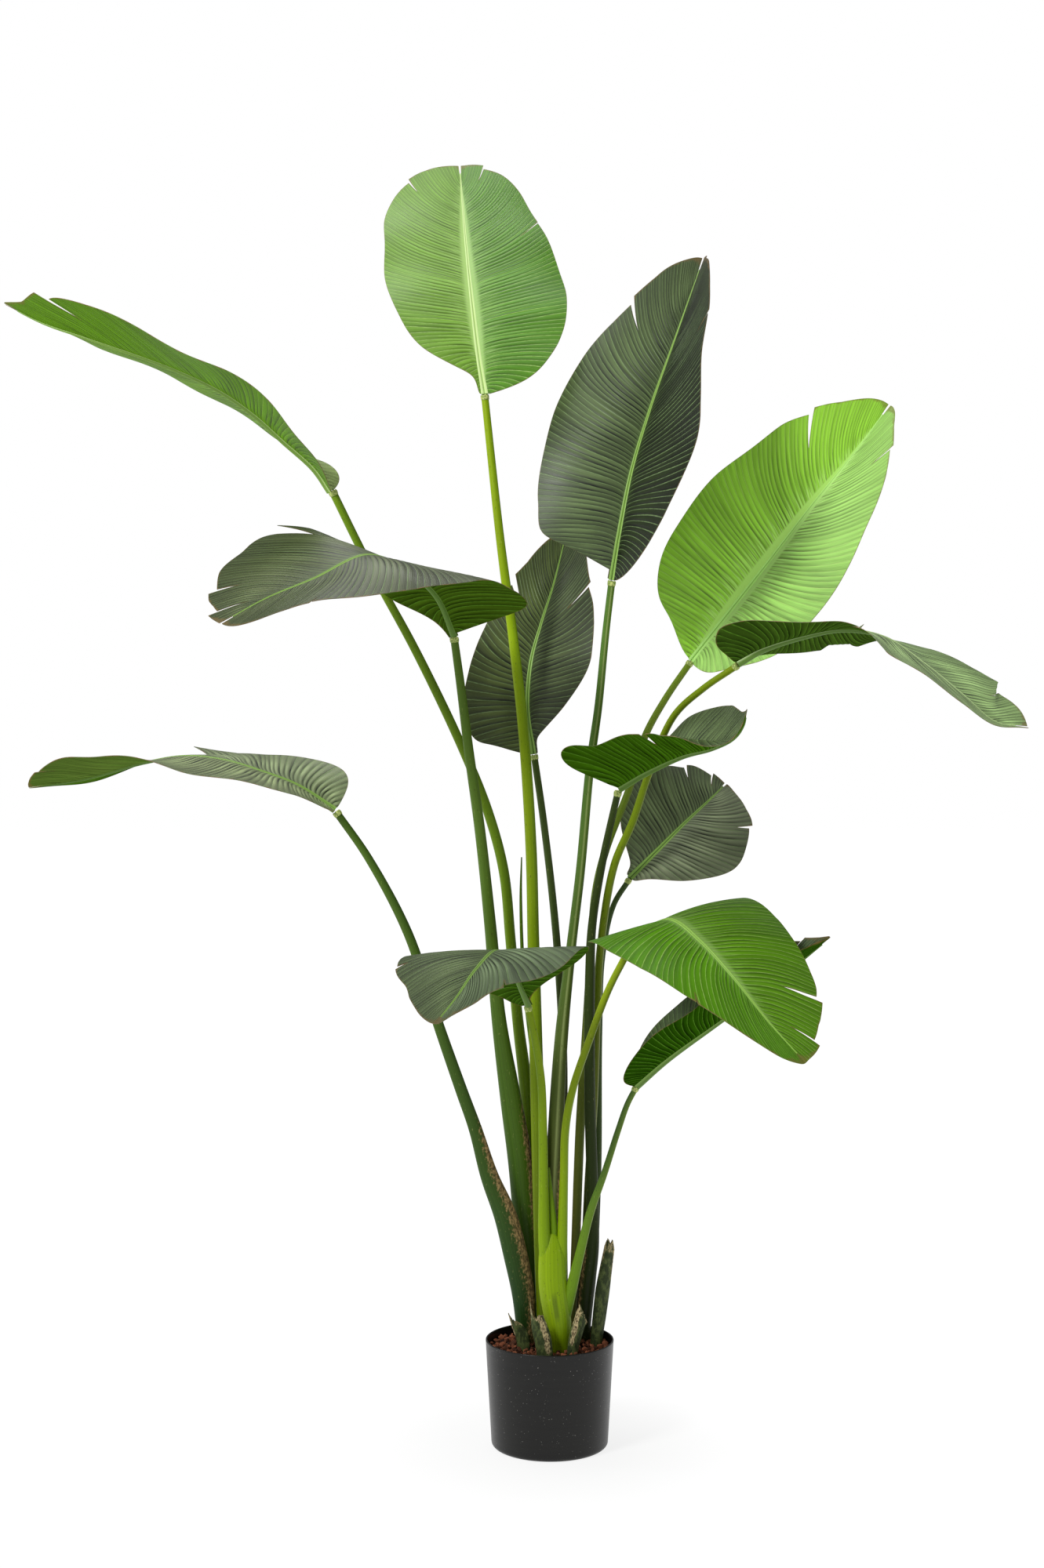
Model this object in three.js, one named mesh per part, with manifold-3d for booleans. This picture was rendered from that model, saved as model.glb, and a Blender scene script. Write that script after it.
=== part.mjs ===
import * as THREE from 'three';
import Module from 'manifold-3d';

const wasm = await Module();
wasm.setup();

// A potted bird of paradise: a plain nursery pot filled with soil under a layer of lava granules,
// petioles that rise from it in a fan, and a broad blade at the end of each.
// Millimetres, +Z up, the front toward -Y, the origin at the middle of the pot's foot.

const POT = { rim: 95, foot: 86, height: 157, wall: 2.8, floor: 4, bend: 7, sides: 40 };
const SOIL_TOP = 130;
const GRANULES_TOP = 146;
const GRANULE = 8;
const STALK_FOOT = 60;
const STUMP_FOOT = 112;
const GAP = 0.5;
const BLADE = 1.2;
const KEEL = 5;
const NECK = 7;
const RIB_END = 0.93;
const VEIN_SWEEP = 0.8;
const WAVE = { height: 3, count: 3.1, start: 0.2 };
const STALK_SIDES = 8;
const SOCKET = 1.5;

const COLOUR = {
  pot: '#232524',
  soil: '#2a1d15',
  granules: '#6b3423',
  old: '#4a5c40',
  young: '#7aa544',
  petiole: '#4f6f25',
  dark: '#38522b',
  bright: '#86ab1f',
  stump: '#5a5a38',
};

// The eye that the front view is drawn for, and the scale of that view.
const EYE = { x: -41, y: -3056, z: 979, focal: 2628, across: 665.5, down: 1000 };

// The point that the front view shows so far across and down, at a depth behind the pot's axis.
function seen(across, down, depth) {
  const away = depth - EYE.y;
  const x = EYE.x + ((across - EYE.across) * away) / EYE.focal;
  const z = EYE.z - ((down - EYE.down) * away) / EYE.focal;
  return new THREE.Vector3(x, depth, z);
}

// Each blade: the midrib from base to tip as [across, down, depth], and its two halves.
// A half has the way that it spreads from the rib at even steps along it, how far out its veins
// reach from base to tip, how far its lobe falls behind the base, how far it curls, and its splits
// as [place, depth, opening, lift of the lip nearer the base].
const BLADES = [
  {
    young: true,
    rib: [[618, 503, 60], [611, 460, 90], [603, 395, 150], [594, 310, 250], [586, 212, 390]],
    left: {
      out: [[-1, -0.25, -0.05], [-1, -0.2, 0], [-1, -0.15, 0]],
      reach: [7, 20, 87, 119, 133, 131, 129, 110, 80, 45, 2], lobe: -10,
      curl: [-10, -20, -15], splits: [[0.78, 0.2, 10]],
    },
    right: {
      out: [[1, -0.25, 0.1], [1, -0.2, 0], [1, -0.15, 0]],
      reach: [7, 95, 133, 148, 143, 132, 111, 94, 69, 36, 2], lobe: 9,
      curl: [-10, -20, -20], splits: [[0.56, 0.28, 4], [0.89, 0.3, 11]],
    },
  },
  {
    rib: [[780, 740, 10], [790, 680, 5], [806, 600, 15], [830, 520, 40], [860, 435, 80],
      [897, 330, 140]],
    left: {
      out: [[-1, -0.2, -0.1], [-1, -0.15, 0.1], [-1, -0.05, 0.2], [-1, 0, 0.3]],
      reach: [-45, 98, 130, 142, 148, 134, 102, 74, 50, 22, 2], lobe: -16,
      curl: [-30, -45, -40], splits: [[0.66, 0.3, 17]],
    },
    right: {
      out: [[0.6, -0.78, 0.1], [0.45, -0.88, -0.05], [0.36, -0.93, -0.1], [0.3, -0.95, -0.1]],
      reach: [7, 52, 104, 148, 125, 98, 80, 58, 36, 18, 2], lobe: 0,
      curl: [-5, -10, 0], splits: [[0.6, 0.2, 8], [0.95, 0.5, 5]],
    },
  },
  {
    young: true,
    rib: [[881, 843, 140], [920, 793, 120], [975, 723, 110], [1035, 645, 120], [1085, 583, 145],
      [1134, 517, 180]],
    left: {
      out: [[-0.8, -0.2, 0.55], [-0.8, -0.15, 0.6], [-0.8, -0.1, 0.6]],
      reach: [7, 84, 132, 148, 148, 128, 112, 83, 52, 26, 2], lobe: -14,
      curl: [-20, -25, -20], splits: [[0.67, 0.38, 17]],
    },
    right: {
      out: [[0.66, -0.66, -0.36], [0.5, -0.7, -0.5], [0.58, -0.62, -0.52]],
      reach: [7, 58, 118, 136, 124, 103, 76, 50, 29, 15, 2], lobe: 10,
      curl: [-10, -10, -10], splits: [[0.7, 0.27, 10]],
    },
  },
  {
    rib: [[941, 847, -50], [970, 830, -55], [1020, 813, -60], [1075, 803, -64], [1128, 812, -68],
      [1180, 847, -73], [1230, 888, -75], [1268, 920, -72], [1310, 928, -64]],
    left: {
      out: [[0.1, 0.98, 0], [0.1, 0.97, -0.12], [0.14, 0.97, -0.2], [0.17, 0.96, -0.24],
        [0.23, 0.96, 0.06], [0.3, 0.92, 0.22], [0.45, 0.82, 0.33], [0.55, 0.74, 0.4],
        [0.6, 0.65, 0.45]],
      reach: [7, 45, 80, 100, 105, 104, 96, 97, 74, 46, 3], lobe: 0,
      curl: [0, 0, 0], splits: [[0.364, 0.3, -2, 34], [0.8, 0.42, 6]],
    },
    right: {
      out: [[-0.65, -0.5, 0.6], [-0.3, -0.88, 0.3], [-0.17, -0.97, 0.05], [-0.2, -0.97, -0.04],
        [-0.27, -0.93, -0.21], [-0.28, -0.94, -0.18], [-0.28, -0.95, -0.14], [-0.28, -0.95, -0.1],
        [-0.2, -0.97, -0.1]],
      reach: [7, 72, 95, 106, 100, 92, 72, 48, 25, 12, 3], lobe: 26,
      curl: [0, 0, 0], splits: [[0.34, 0.3, 12]],
    },
  },
  {
    young: true,
    rib: [[421, 627, -20], [401, 598, -32], [362, 563, -45], [324, 529, -55], [281, 499, -65],
      [220, 470, -75], [110, 431, -80], [52, 411, -76], [6, 388, -70]],
    left: {
      out: [[0.05, -1, 0.1], [0.15, -0.97, 0.08], [0.3, -0.94, 0.06], [0.27, -0.95, 0.06],
        [0.27, -0.95, 0.06], [0.3, -0.94, 0.14], [0.37, -0.89, 0.24], [0.37, -0.87, 0.3],
        [0.33, -0.92, 0.15]],
      reach: [7, 45, 80, 98, 102, 100, 90, 72, 32, 12, 3], lobe: 2,
      curl: [0, 0, 0], splits: [[0.72, 0.34, 26]],
    },
    right: {
      out: [[0.65, 0.7, -0.05], [0.05, 1, 0.1], [-0.2, 0.97, 0.1], [-0.22, 0.97, 0.07],
        [-0.2, 0.97, 0.07], [-0.21, 0.97, 0.08], [-0.22, 0.96, 0.12], [-0.22, 0.95, 0.2],
        [-0.22, 0.95, 0.22]],
      reach: [7, 50, 80, 95, 98, 90, 75, 52, 30, 12, 3], lobe: 10,
      curl: [0, 0, 0], splits: [],
    },
  },
  {
    rib: [[579, 812, -20], [556, 760, -60], [512, 722, -120], [465, 708, -180], [400, 738, -230],
      [340, 763, -270], [282, 795, -300]],
    left: {
      out: [[0.95, -0.2, 0.05], [0.85, -0.4, -0.05], [0.75, -0.55, -0.25], [0.6, -0.65, -0.35],
        [0.5, -0.65, -0.4]],
      reach: [-40, 122, 136, 150, 128, 97, 56, 43, 33, 20, 2], lobe: -4,
      curl: [-15, -20, -15], splits: [[0.62, 0.1, 5]],
    },
    right: {
      out: [[-0.9, 0.3, 0.1], [-0.8, 0.5, 0.2], [-0.6, 0.6, 0.4], [-0.5, 0.6, 0.45],
        [-0.4, 0.6, 0.5]],
      reach: [7, 20, 91, 100, 112, 158, 138, 110, 71, 38, 2], lobe: 6,
      curl: [-10, -10, -10], splits: [[0.47, 0.33, 4, 12], [0.8, 0.25, 14], [0.93, 0.6, 14]],
    },
  },
  {
    rib: [[681, 962, 110], [673, 905, 110], [677, 845, 120], [690, 796, 135], [706, 745, 160],
      [722, 680, 200]],
    left: {
      out: [[-1, -0.25, 0], [-1, -0.2, 0.1], [-1, -0.1, 0.2]],
      reach: [7, 75, 98, 94, 82, 73, 57, 43, 28, 14, 2], lobe: -10,
      curl: [-10, -15, -10], splits: [[0.57, 0.42, 22]],
    },
    right: {
      out: [[0.72, -0.7, 0], [0.72, -0.7, 0], [0.72, -0.65, 0]],
      reach: [7, 16, 71, 112, 110, 96, 67, 52, 38, 20, 2], lobe: -6,
      curl: [-10, -10, -10], splits: [[0.58, 0.4, 9]],
    },
  },
  {
    rib: [[427, 1033, -30], [380, 1002, -40], [335, 984, -50], [286, 969, -55], [235, 964, -60],
      [185, 972, -65], [110, 993, -75], [37, 1005, -85]],
    left: {
      out: [[-0.1, -0.97, -0.08], [-0.12, -0.96, -0.06], [-0.1, -0.95, -0.15],
        [-0.07, -0.93, -0.26], [0, -0.97, -0.22], [0, -1, -0.02], [-0.07, -0.97, 0.2],
        [-0.09, -0.9, 0.4], [-0.05, -0.95, 0.3]],
      reach: [7, 45, 80, 93, 98, 98, 92, 82, 62, 34, 3], lobe: 0,
      curl: [0, 0, 0], splits: [[0.84, 0.2, 6]],
    },
    right: {
      out: [[0.5, 0.6, 0.62], [0.27, 0.86, 0.4], [0.11, 0.97, 0.2], [0.02, 0.99, 0.1], [0, 1, 0.04],
        [0, 1, 0.02], [0.02, 1, 0.03], [0, 1, -0.04], [0, 1, 0]],
      reach: [7, 74, 92, 96, 98, 96, 90, 80, 60, 32, 3], lobe: 10,
      curl: [0, 0, 0], splits: [[0.42, 0.3, 3, 13]],
    },
  },
  {
    rib: [[790, 1006, -10], [822, 987, -32], [870, 965, -75], [908, 955, -120], [935, 942, -160],
      [948, 925, -185], [952, 908, -205]],
    left: {
      out: [[0.3, 0.8, 0.45], [0.3, 0.8, 0.5], [0.27, 0.78, 0.55], [0.26, 0.72, 0.62],
        [0.28, 0.6, 0.7], [0.25, 0.6, 0.7], [0.16, 0.62, 0.74], [0.15, 0.75, 0.62],
        [0.15, 0.75, 0.6]],
      reach: [7, 60, 90, 100, 94, 80, 58, 40, 22, 10, 2], lobe: 4,
      curl: [0, 0, 0], splits: [],
    },
    right: {
      out: [[-0.64, -0.7, 0.36], [-0.63, -0.69, 0.37], [-0.65, -0.66, 0.35], [-0.67, -0.65, 0.33],
        [-0.68, -0.68, 0.27], [-0.7, -0.68, 0.2], [-0.78, -0.6, 0.08], [-0.5, -0.75, -0.42],
        [-0.4, -0.8, -0.45]],
      reach: [20, 142, 114, 106, 104, 98, 76, 38, 15, 7, 2], lobe: 20,
      curl: [0, 0, 0], splits: [[0.41, 0.5, 16]],
    },
  },
  {
    rib: [[803, 1120, 110], [838, 1085, 140], [873, 1050, 180], [905, 1020, 230], [925, 1000, 280]],
    left: {
      out: [[-0.7, -0.2, 0.7], [-0.7, -0.1, 0.7], [-0.8, 0, 0.6]],
      reach: [7, 20, 68, 98, 100, 95, 84, 68, 54, 26, 2], lobe: -4,
      curl: [-10, -15, -10], splits: [[0.715, 0.3, 12], [0.9, 0.5, 9]],
    },
    right: {
      out: [[0.75, -0.55, -0.5], [0.75, -0.6, -0.5], [0.75, -0.55, -0.4]],
      reach: [7, 26, 71, 106, 111, 98, 79, 50, 25, 10, 2], lobe: 0,
      curl: [-10, -15, -10], splits: [[0.58, 0.22, 10]],
    },
  },
  {
    rib: [[673, 1282, -60], [661, 1254, -100], [650, 1228, -140], [633, 1212, -190], [606, 1237, -262],
      [582, 1272, -322], [555, 1306, -370]],
    left: {
      out: [[1, -0.2, 0.3], [1, -0.2, 0.2], [0.8, -0.5, -0.2], [0.5, -0.75, -0.4]],
      reach: [7, 10, 64, 120, 112, 90, 44, 27, 13, 6, 0], lobe: 6,
      curl: [-15, -12, -10], splits: [[0.58, 0.12, 7]],
    },
    right: {
      out: [[-0.9, 0.3, -0.1], [-1, 0.1, 0], [-0.92, 0.3, -0.02], [-0.9, 0.4, 0]],
      reach: [7, 30, 80, 112, 128, 125, 90, 68, 42, 18, 0], lobe: 6,
      curl: [-10, -10, -20], splits: [[0.5, 0.12, 7]],
    },
  },
  {
    young: true,
    rib: [[802, 1212, -80], [822, 1187, -120], [855, 1173, -175], [893, 1201, -232], [933, 1245, -272],
      [980, 1304, -300], [1027, 1356, -316]],
    left: {
      out: [[0.8, 0.5, 0.25], [0.7, 0.55, 0.35], [0.7, 0.45, 0.5], [0.75, 0.35, 0.4]],
      reach: [7, 60, 116, 138, 138, 122, 109, 92, 58, 28, 0], lobe: 6,
      curl: [-20, -20, -20], splits: [[0.72, 0.42, 14], [0.88, 0.4, 10]],
    },
    right: {
      out: [[-0.9, -0.3, -0.1], [-0.8, -0.5, -0.2], [-0.56, -0.75, -0.38], [-0.55, -0.75, -0.4]],
      reach: [7, 60, 112, 119, 100, 87, 63, 43, 28, 12, 0], lobe: 6,
      curl: [5, -15, -20, -10], splits: [[0.54, 0.12, 3]],
    },
  },
  {
    rib: [[812, 1385, -20], [850, 1352, -60], [922, 1300, -110], [990, 1250, -140],
      [1059, 1196, -150]],
    left: {
      out: [[-0.3, 0.7, 0.55], [-0.3, 0.7, 0.6], [-0.3, 0.7, 0.6]],
      reach: [7, 44, 66, 69, 75, 75, 66, 48, 22, 8, 2], lobe: 2,
      curl: [0, -5, -10], splits: [[0.77, 0.25, 8]],
    },
    right: {
      out: [[-0.4, -0.8, 0.4], [-0.35, -0.85, 0.38], [-0.3, -0.85, 0.35]],
      reach: [7, 40, 62, 71, 77, 74, 60, 40, 22, 8, 2], lobe: 6,
      curl: [15, 10, 0], splits: [],
    },
  },
];

// Each petiole: where it stands in the soil as [x, y, width], then [across, down, depth, width].
const PETIOLES = [
  {
    name: 'petiole_01', colour: 'bright', flat: 0.85, foot: [-7, 24, 22],
    path: [[692, 1640, 24, 23], [685, 1400, 32, 21], [680, 1200, 34, 18], [677, 1080, 36, 17],
      [668, 940, 40, 16], [655, 820, 45, 15], [638, 690, 50, 13], [618, 505, 60, 11]],
  },
  {
    name: 'petiole_02', colour: 'petiole', flat: 0.8, foot: [12, 44, 24],
    path: [[707, 1640, 44, 25], [704, 1560, 46, 26], [708, 1450, 46, 24], [716, 1320, 44, 20],
      [728, 1210, 42, 15], [740, 1110, 40, 14], [752, 980, 38, 13], [763, 900, 30, 12],
      [772, 810, 20, 11], [780, 742, 10, 10.5]],
  },
  {
    name: 'petiole_03', colour: 'bright', flat: 0.85, foot: [33, 51, 13],
    path: [[732, 1640, 53, 14], [737, 1500, 59, 14], [740, 1430, 62, 14], [747, 1320, 66, 13],
      [753, 1220, 70, 12], [759, 1140, 76, 12], [772, 1085, 82, 12], [803, 1004, 96, 11],
      [822, 940, 112, 11], [848, 892, 126, 10.5], [880, 845, 140, 10]],
  },
  {
    name: 'petiole_04', colour: 'petiole', flat: 0.85, foot: [40, 68, 13],
    path: [[743, 1640, 72, 14], [751, 1500, 80, 13], [757, 1400, 84, 13], [761, 1290, 86, 12.5],
      [766, 1205, 84, 12], [783, 1104, 78, 12], [807, 1047, 70, 11.5], [826, 990, 60, 11],
      [858, 915, 26, 10.5], [897, 878, -20, 10], [940, 849, -49, 9.5]],
  },
  {
    name: 'petiole_05', colour: 'petiole', flat: 0.8, foot: [-4, 76, 20],
    path: [[692, 1640, 78, 22], [682, 1540, 80, 24], [672, 1400, 82, 21], [660, 1300, 80, 17],
      [651, 1200, 76, 16], [642, 1110, 70, 15.5], [622, 1035, 60, 15], [590, 955, 50, 14],
      [530, 830, 30, 13], [470, 720, 5, 12], [424, 627, -20, 11.5]],
  },
  {
    name: 'petiole_06', colour: 'petiole', flat: 0.68, foot: [-26, 57, 28],
    path: [[679, 1640, 55, 33], [670, 1560, 52, 36], [663, 1480, 50, 37], [651, 1400, 46, 32],
      [636, 1300, 36, 22], [625, 1180, 25, 18], [612, 1060, 8, 16], [598, 960, -3, 14.5],
      [588, 880, -12, 13], [579, 814, -20, 11.5]],
  },
  {
    name: 'petiole_07', colour: 'dark', flat: 0.85, foot: [22, 72, 15],
    path: [[717, 1640, 74, 17], [716, 1500, 80, 16], [718, 1350, 80, 13], [712, 1230, 85, 12],
      [704, 1140, 90, 11.5], [692, 1040, 100, 11], [681, 964, 109, 10.5]],
  },
  {
    name: 'petiole_08', colour: 'dark', flat: 0.68, foot: [-35, 23, 27],
    path: [[667, 1650, 20, 34], [657, 1600, 16, 36], [644, 1550, 12, 34], [624, 1500, 8, 27],
      [606, 1440, 2, 20], [588, 1390, -3, 18], [560, 1310, -12, 16], [520, 1190, -20, 14],
      [470, 1095, -27, 12], [429, 1036, -30, 11]],
  },
  {
    name: 'petiole_09', colour: 'dark', flat: 0.8, foot: [50, 35, 22],
    path: [[748, 1640, 36, 25], [754, 1590, 38, 23], [755, 1520, 40, 18], [752, 1400, 40, 16.5],
      [752, 1250, 38, 15], [755, 1180, 31, 13], [768, 1100, 18, 11.5], [781, 1040, 0, 10.5],
      [788, 1010, -8, 10]],
  },
  {
    name: 'petiole_10', colour: 'dark', flat: 0.85, foot: [53, 58, 11],
    path: [[754, 1640, 66, 12], [762, 1500, 98, 11], [764, 1320, 106, 9.5], [768, 1220, 108, 9],
      [782, 1155, 109, 8.5], [802, 1122, 110, 8.5]],
  },
  {
    name: 'spear', colour: 'petiole', flat: 0.9, foot: [-3, 57, 8],
    path: [[699, 1640, 58, 8], [685, 1400, 61, 7.5], [668, 1250, 60, 6], [664, 1150, 60, 4.5],
      [665, 1092, 60, 2]],
  },
];

// The front shoot is one piece: its foot, three petioles that part from it, and a furled leaf.
const SHOOT = {
  name: 'shoot', colour: 'bright',
  stalks: [
    {
      flat: 0.8, foot: [14, -20, 30],
      path: [[712, 1690, -20, 38], [705, 1640, -18, 43], [704, 1600, -16, 42], [704, 1572, -15, 34]],
    },
    {
      flat: 0.85, path: [[698, 1640, -17, 18], [694, 1580, -17, 18], [693, 1520, -16, 15],
        [692, 1440, -20, 13], [690, 1380, -28, 12], [683, 1330, -42, 11], [673, 1284, -59, 10]],
    },
    {
      flat: 0.85, path: [[716, 1640, -16, 16], [717, 1580, -15, 15], [719, 1500, -14, 12.5],
        [721, 1440, -16, 12], [730, 1390, -22, 11.5], [752, 1325, -36, 11], [776, 1262, -58, 10.5],
        [800, 1215, -79, 10]],
    },
    {
      flat: 0.8, path: [[705, 1640, -14, 14], [706, 1570, -12, 12], [702, 1520, -10, 7],
        [700, 1488, -8, 2]],
    },
    {
      flat: 0.6, path: [[716, 1700, -22, 16], [727, 1650, -22, 17], [739, 1600, -21, 14],
        [753, 1545, -20, 12], [770, 1498, -18, 10], [788, 1442, -16, 9], [800, 1408, -17, 8.5],
        [811, 1387, -19, 8.5]],
    },
  ],
};

// Each stump of an old leaf: a bowed strip as [across, down, depth, width], the way that its back
// faces, and the heights that its torn top adds to the last row.
const STUMPS = [
  {
    name: 'stump_01', foot: [-39, -10, 20], turn: -24, bow: 5, thick: 3,
    path: [[664, 1700, -10, 22], [657, 1683, -12, 23]], torn: [8, 3, -1, -2, -6],
  },
  {
    name: 'stump_02', foot: [-8, -52, 24], turn: -10, bow: 7, thick: 3,
    path: [[690, 1700, -50, 26], [684, 1680, -50, 19]], torn: [22, 4, 0, 4, 2],
  },
  {
    name: 'stump_03', foot: [33, -44, 17], turn: 25, bow: 5, thick: 3,
    path: [[735, 1700, -42, 21], [741, 1680, -42, 19]], torn: [4, 19, 10, -2, -9],
  },
  {
    name: 'stump_04', foot: [70, 15, 19], turn: 20, bow: 4, thick: 4,
    path: [[764, 1680, 15, 21], [769, 1640, 16, 22], [777, 1590, 18, 15]], torn: [3, 12, 5, 10, -4],
  },
];

// The value of an even row of stations at share t, on a smooth curve through them.
function station(rows, t) {
  const scaled = t * (rows.length - 1);
  const i = Math.min(Math.floor(scaled), rows.length - 2);
  const w = scaled - i;
  const before = i > 0 ? rows[i - 1] : 2 * rows[0] - rows[1];
  const after = i + 2 < rows.length ? rows[i + 2] : 2 * rows[i + 1] - rows[i];
  const rise = (rows[i + 1] - before) / 2;
  const fall = (after - rows[i]) / 2;
  const step = rows[i + 1] - rows[i];
  return rows[i] + rise * w + (3 * step - 2 * rise - fall) * w * w
    + (rise + fall - 2 * step) * w * w * w;
}

function direction(rows, t) {
  const axis = (k) => station(rows.map((row) => row[k]), t);
  return new THREE.Vector3(axis(0), axis(1), axis(2));
}

function solidOf(positions, triangles) {
  const mesh = new wasm.Mesh({
    numProp: 3,
    vertProperties: Float32Array.from(positions),
    triVerts: Uint32Array.from(triangles),
  });
  return new wasm.Manifold(mesh);
}

function geometryOf(solid) {
  const mesh = solid.getMesh();
  const geometry = new THREE.BufferGeometry();
  geometry.setAttribute('position', new THREE.BufferAttribute(mesh.vertProperties, 3));
  geometry.setIndex(new THREE.BufferAttribute(mesh.triVerts, 1));
  geometry.computeVertexNormals();
  return geometry;
}

// A solid through rings of points. Each ring runs out along one side and back along the other, so
// a cap is a ladder of triangles between its two sides.
function loft(rings) {
  const count = rings[0].length;
  const positions = rings.flat().flatMap((p) => [p.x, p.y, p.z]);
  const triangles = [];
  for (let i = 0; i < rings.length - 1; i += 1) {
    for (let j = 0; j < count; j += 1) {
      const a = i * count + j;
      const b = i * count + ((j + 1) % count);
      triangles.push(a, b, b + count, a, b + count, a + count);
    }
  }
  const top = (rings.length - 1) * count;
  for (let j = 0; j < count / 2 - 1; j += 1) {
    const a = j;
    const b = j + 1;
    const c = count - 2 - j;
    const d = count - 1 - j;
    triangles.push(a, c, b, a, d, c);
    triangles.push(top + a, top + b, top + c, top + a, top + c, top + d);
  }
  return solidOf(positions, triangles);
}

// An oval ring across a stalk, its width level with the front view and its thickness in depth.
function ovalRing(centre, tangent, width, thickness) {
  const back = new THREE.Vector3(0, 1, 0).addScaledVector(tangent, -tangent.y).normalize();
  const side = new THREE.Vector3().crossVectors(back, tangent);
  const ring = [];
  for (let k = 0; k < STALK_SIDES; k += 1) {
    const angle = ((k + 0.5) * 2 * Math.PI) / STALK_SIDES;
    const point = centre.clone();
    point.addScaledVector(side, (width / 2) * Math.cos(angle));
    point.addScaledVector(back, (thickness / 2) * Math.sin(angle));
    ring.push(point);
  }
  return ring;
}

function stalk(spec, foot = STALK_FOOT, grow = 0) {
  const points = spec.path.map(([across, down, depth]) => seen(across, down, depth));
  const widths = spec.path.map((row) => row[3]);
  const rings = [];
  const up = new THREE.Vector3(0, 0, 1);
  if (spec.foot) {
    const [x, y, width] = spec.foot;
    const low = new THREE.Vector3(x, y, foot);
    rings.push(ovalRing(low, up, width + grow, width * spec.flat + grow));
    points.unshift(new THREE.Vector3(x, y, GRANULES_TOP + 8));
    widths.unshift(width);
  }
  const curve = new THREE.CatmullRomCurve3(points);
  const steps = Math.ceil(1.5 * (points.length - 1));
  const end = 1 - SOCKET / curve.getLength();
  for (let i = 0; i <= steps; i += 1) {
    const t = (end * i) / steps;
    const tangent = i === 0 && spec.foot ? up : curve.getTangent(t);
    const width = station(widths, t);
    const ring = ovalRing(curve.getPoint(t), tangent, width + grow, width * spec.flat + grow);
    rings.push(ring);
  }
  return loft(rings);
}

// The bowed strip left of an old leaf, standing in the granules.
function stump(spec, foot = STUMP_FOOT, grow = 0) {
  const turn = THREE.MathUtils.degToRad(spec.turn);
  const level = new THREE.Vector3(Math.cos(turn), Math.sin(turn), 0);
  const outward = new THREE.Vector3(Math.sin(turn), -Math.cos(turn), 0);
  const [x, y, width] = spec.foot;
  const rows = [
    [new THREE.Vector3(x, y, foot), width],
    [new THREE.Vector3(x, y, GRANULES_TOP + 4), width],
  ];
  for (const [across, down, depth, wide] of spec.path) {
    rows.push([seen(across, down, depth), wide]);
  }
  const shares = [-1, -0.5, 0, 0.5, 1];
  const rings = rows.map(([centre, wide], i) => {
    const edge = (share, inward) => {
      const point = centre.clone();
      const aside = (share * (wide + grow)) / 2;
      point.addScaledVector(level, aside);
      const bow = spec.bow * (1 - (aside / (wide / 2)) ** 2);
      const half = (spec.thick + grow) / 2;
      point.addScaledVector(outward, bow + (inward ? -half : half));
      return point;
    };
    const outer = shares.map((share) => edge(share, false));
    const inner = shares.map((share) => edge(share, true)).reverse();
    if (i === rows.length - 1) {
      outer.forEach((point, k) => point.setZ(point.z + spec.torn[k]));
      inner.forEach((point, k) => point.setZ(point.z + spec.torn[shares.length - 1 - k]));
    }
    return [...outer, ...inner];
  });
  return loft(rings);
}

// The frame of a half blade at share t: along the rib, out across the half, and up from its face.
function frame(blade, side, t) {
  const along = blade.curve.getTangentAt(t);
  const out = direction(blade[side].out, t);
  out.addScaledVector(along, -out.dot(along)).normalize();
  const face = new THREE.Vector3().crossVectors(out, along);
  if (side === 'left') face.negate();
  return { along, out, face };
}

// A point x mm out from the rib at share y along it, and the way its upper face looks there.
function onBlade(blade, side, x, y) {
  const half = blade[side];
  const t = THREE.MathUtils.clamp(y, 0, 1);
  const { along, out, face } = frame(blade, side, t);
  const point = blade.curve.getPointAt(t).addScaledVector(along, (y - t) * blade.length);
  if (x < 0.01) {
    const other = frame(blade, side === 'left' ? 'right' : 'left', t).face;
    return { point, face: face.add(other).normalize() };
  }
  const widest = Math.max(...half.reach);
  const bend = (THREE.MathUtils.degToRad(station(half.curl, t)) || 1e-6) / widest;
  const phase = WAVE.start * (side === 'left' ? 1 : 1.7);
  const wave = Math.sin(2 * Math.PI * (WAVE.count * t + phase));
  const lift = (1 - Math.cos(bend * x)) / bend + WAVE.height * (x / widest) ** 2 * wave;
  point.addScaledVector(out, Math.sin(bend * x) / bend).addScaledVector(face, lift);
  face.multiplyScalar(Math.cos(bend * x)).addScaledVector(out, -Math.sin(bend * x));
  return { point, face };
}

const VEINS = 11;
const ACROSS = [0, 0.06, 0.38, 0.7, 1];

// A vein leaves the rib square to it and sweeps toward the tip as it nears the margin.
function vein(blade, side, u, split, way) {
  const half = blade[side];
  const start = u * RIB_END;
  const end = 0.5 * (1 - Math.cos(Math.PI * u ** VEIN_SWEEP));
  const reach = Math.max(station(half.reach, u), NECK * (1 - u));
  const lobe = (half.lobe / blade.length) * Math.exp(-(((u - 0.07) / 0.05) ** 2));
  return ACROSS.map((v) => {
    const x = 2 * v * (1 - v) * 0.55 * reach + v * v * reach;
    let y = (1 - v) ** 2 * start + 2 * v * (1 - v) * (start + 0.12 * (end - start)) + v * v * end;
    y -= lobe * v * v;
    const gape = split ? Math.max(0, (v - (1 - split.depth)) / split.depth) : 0;
    if (split) y += (way * gape * split.opening) / 2 / blade.length;
    return [x, y, split && way < 0 ? gape * split.lift : 0];
  });
}

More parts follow.
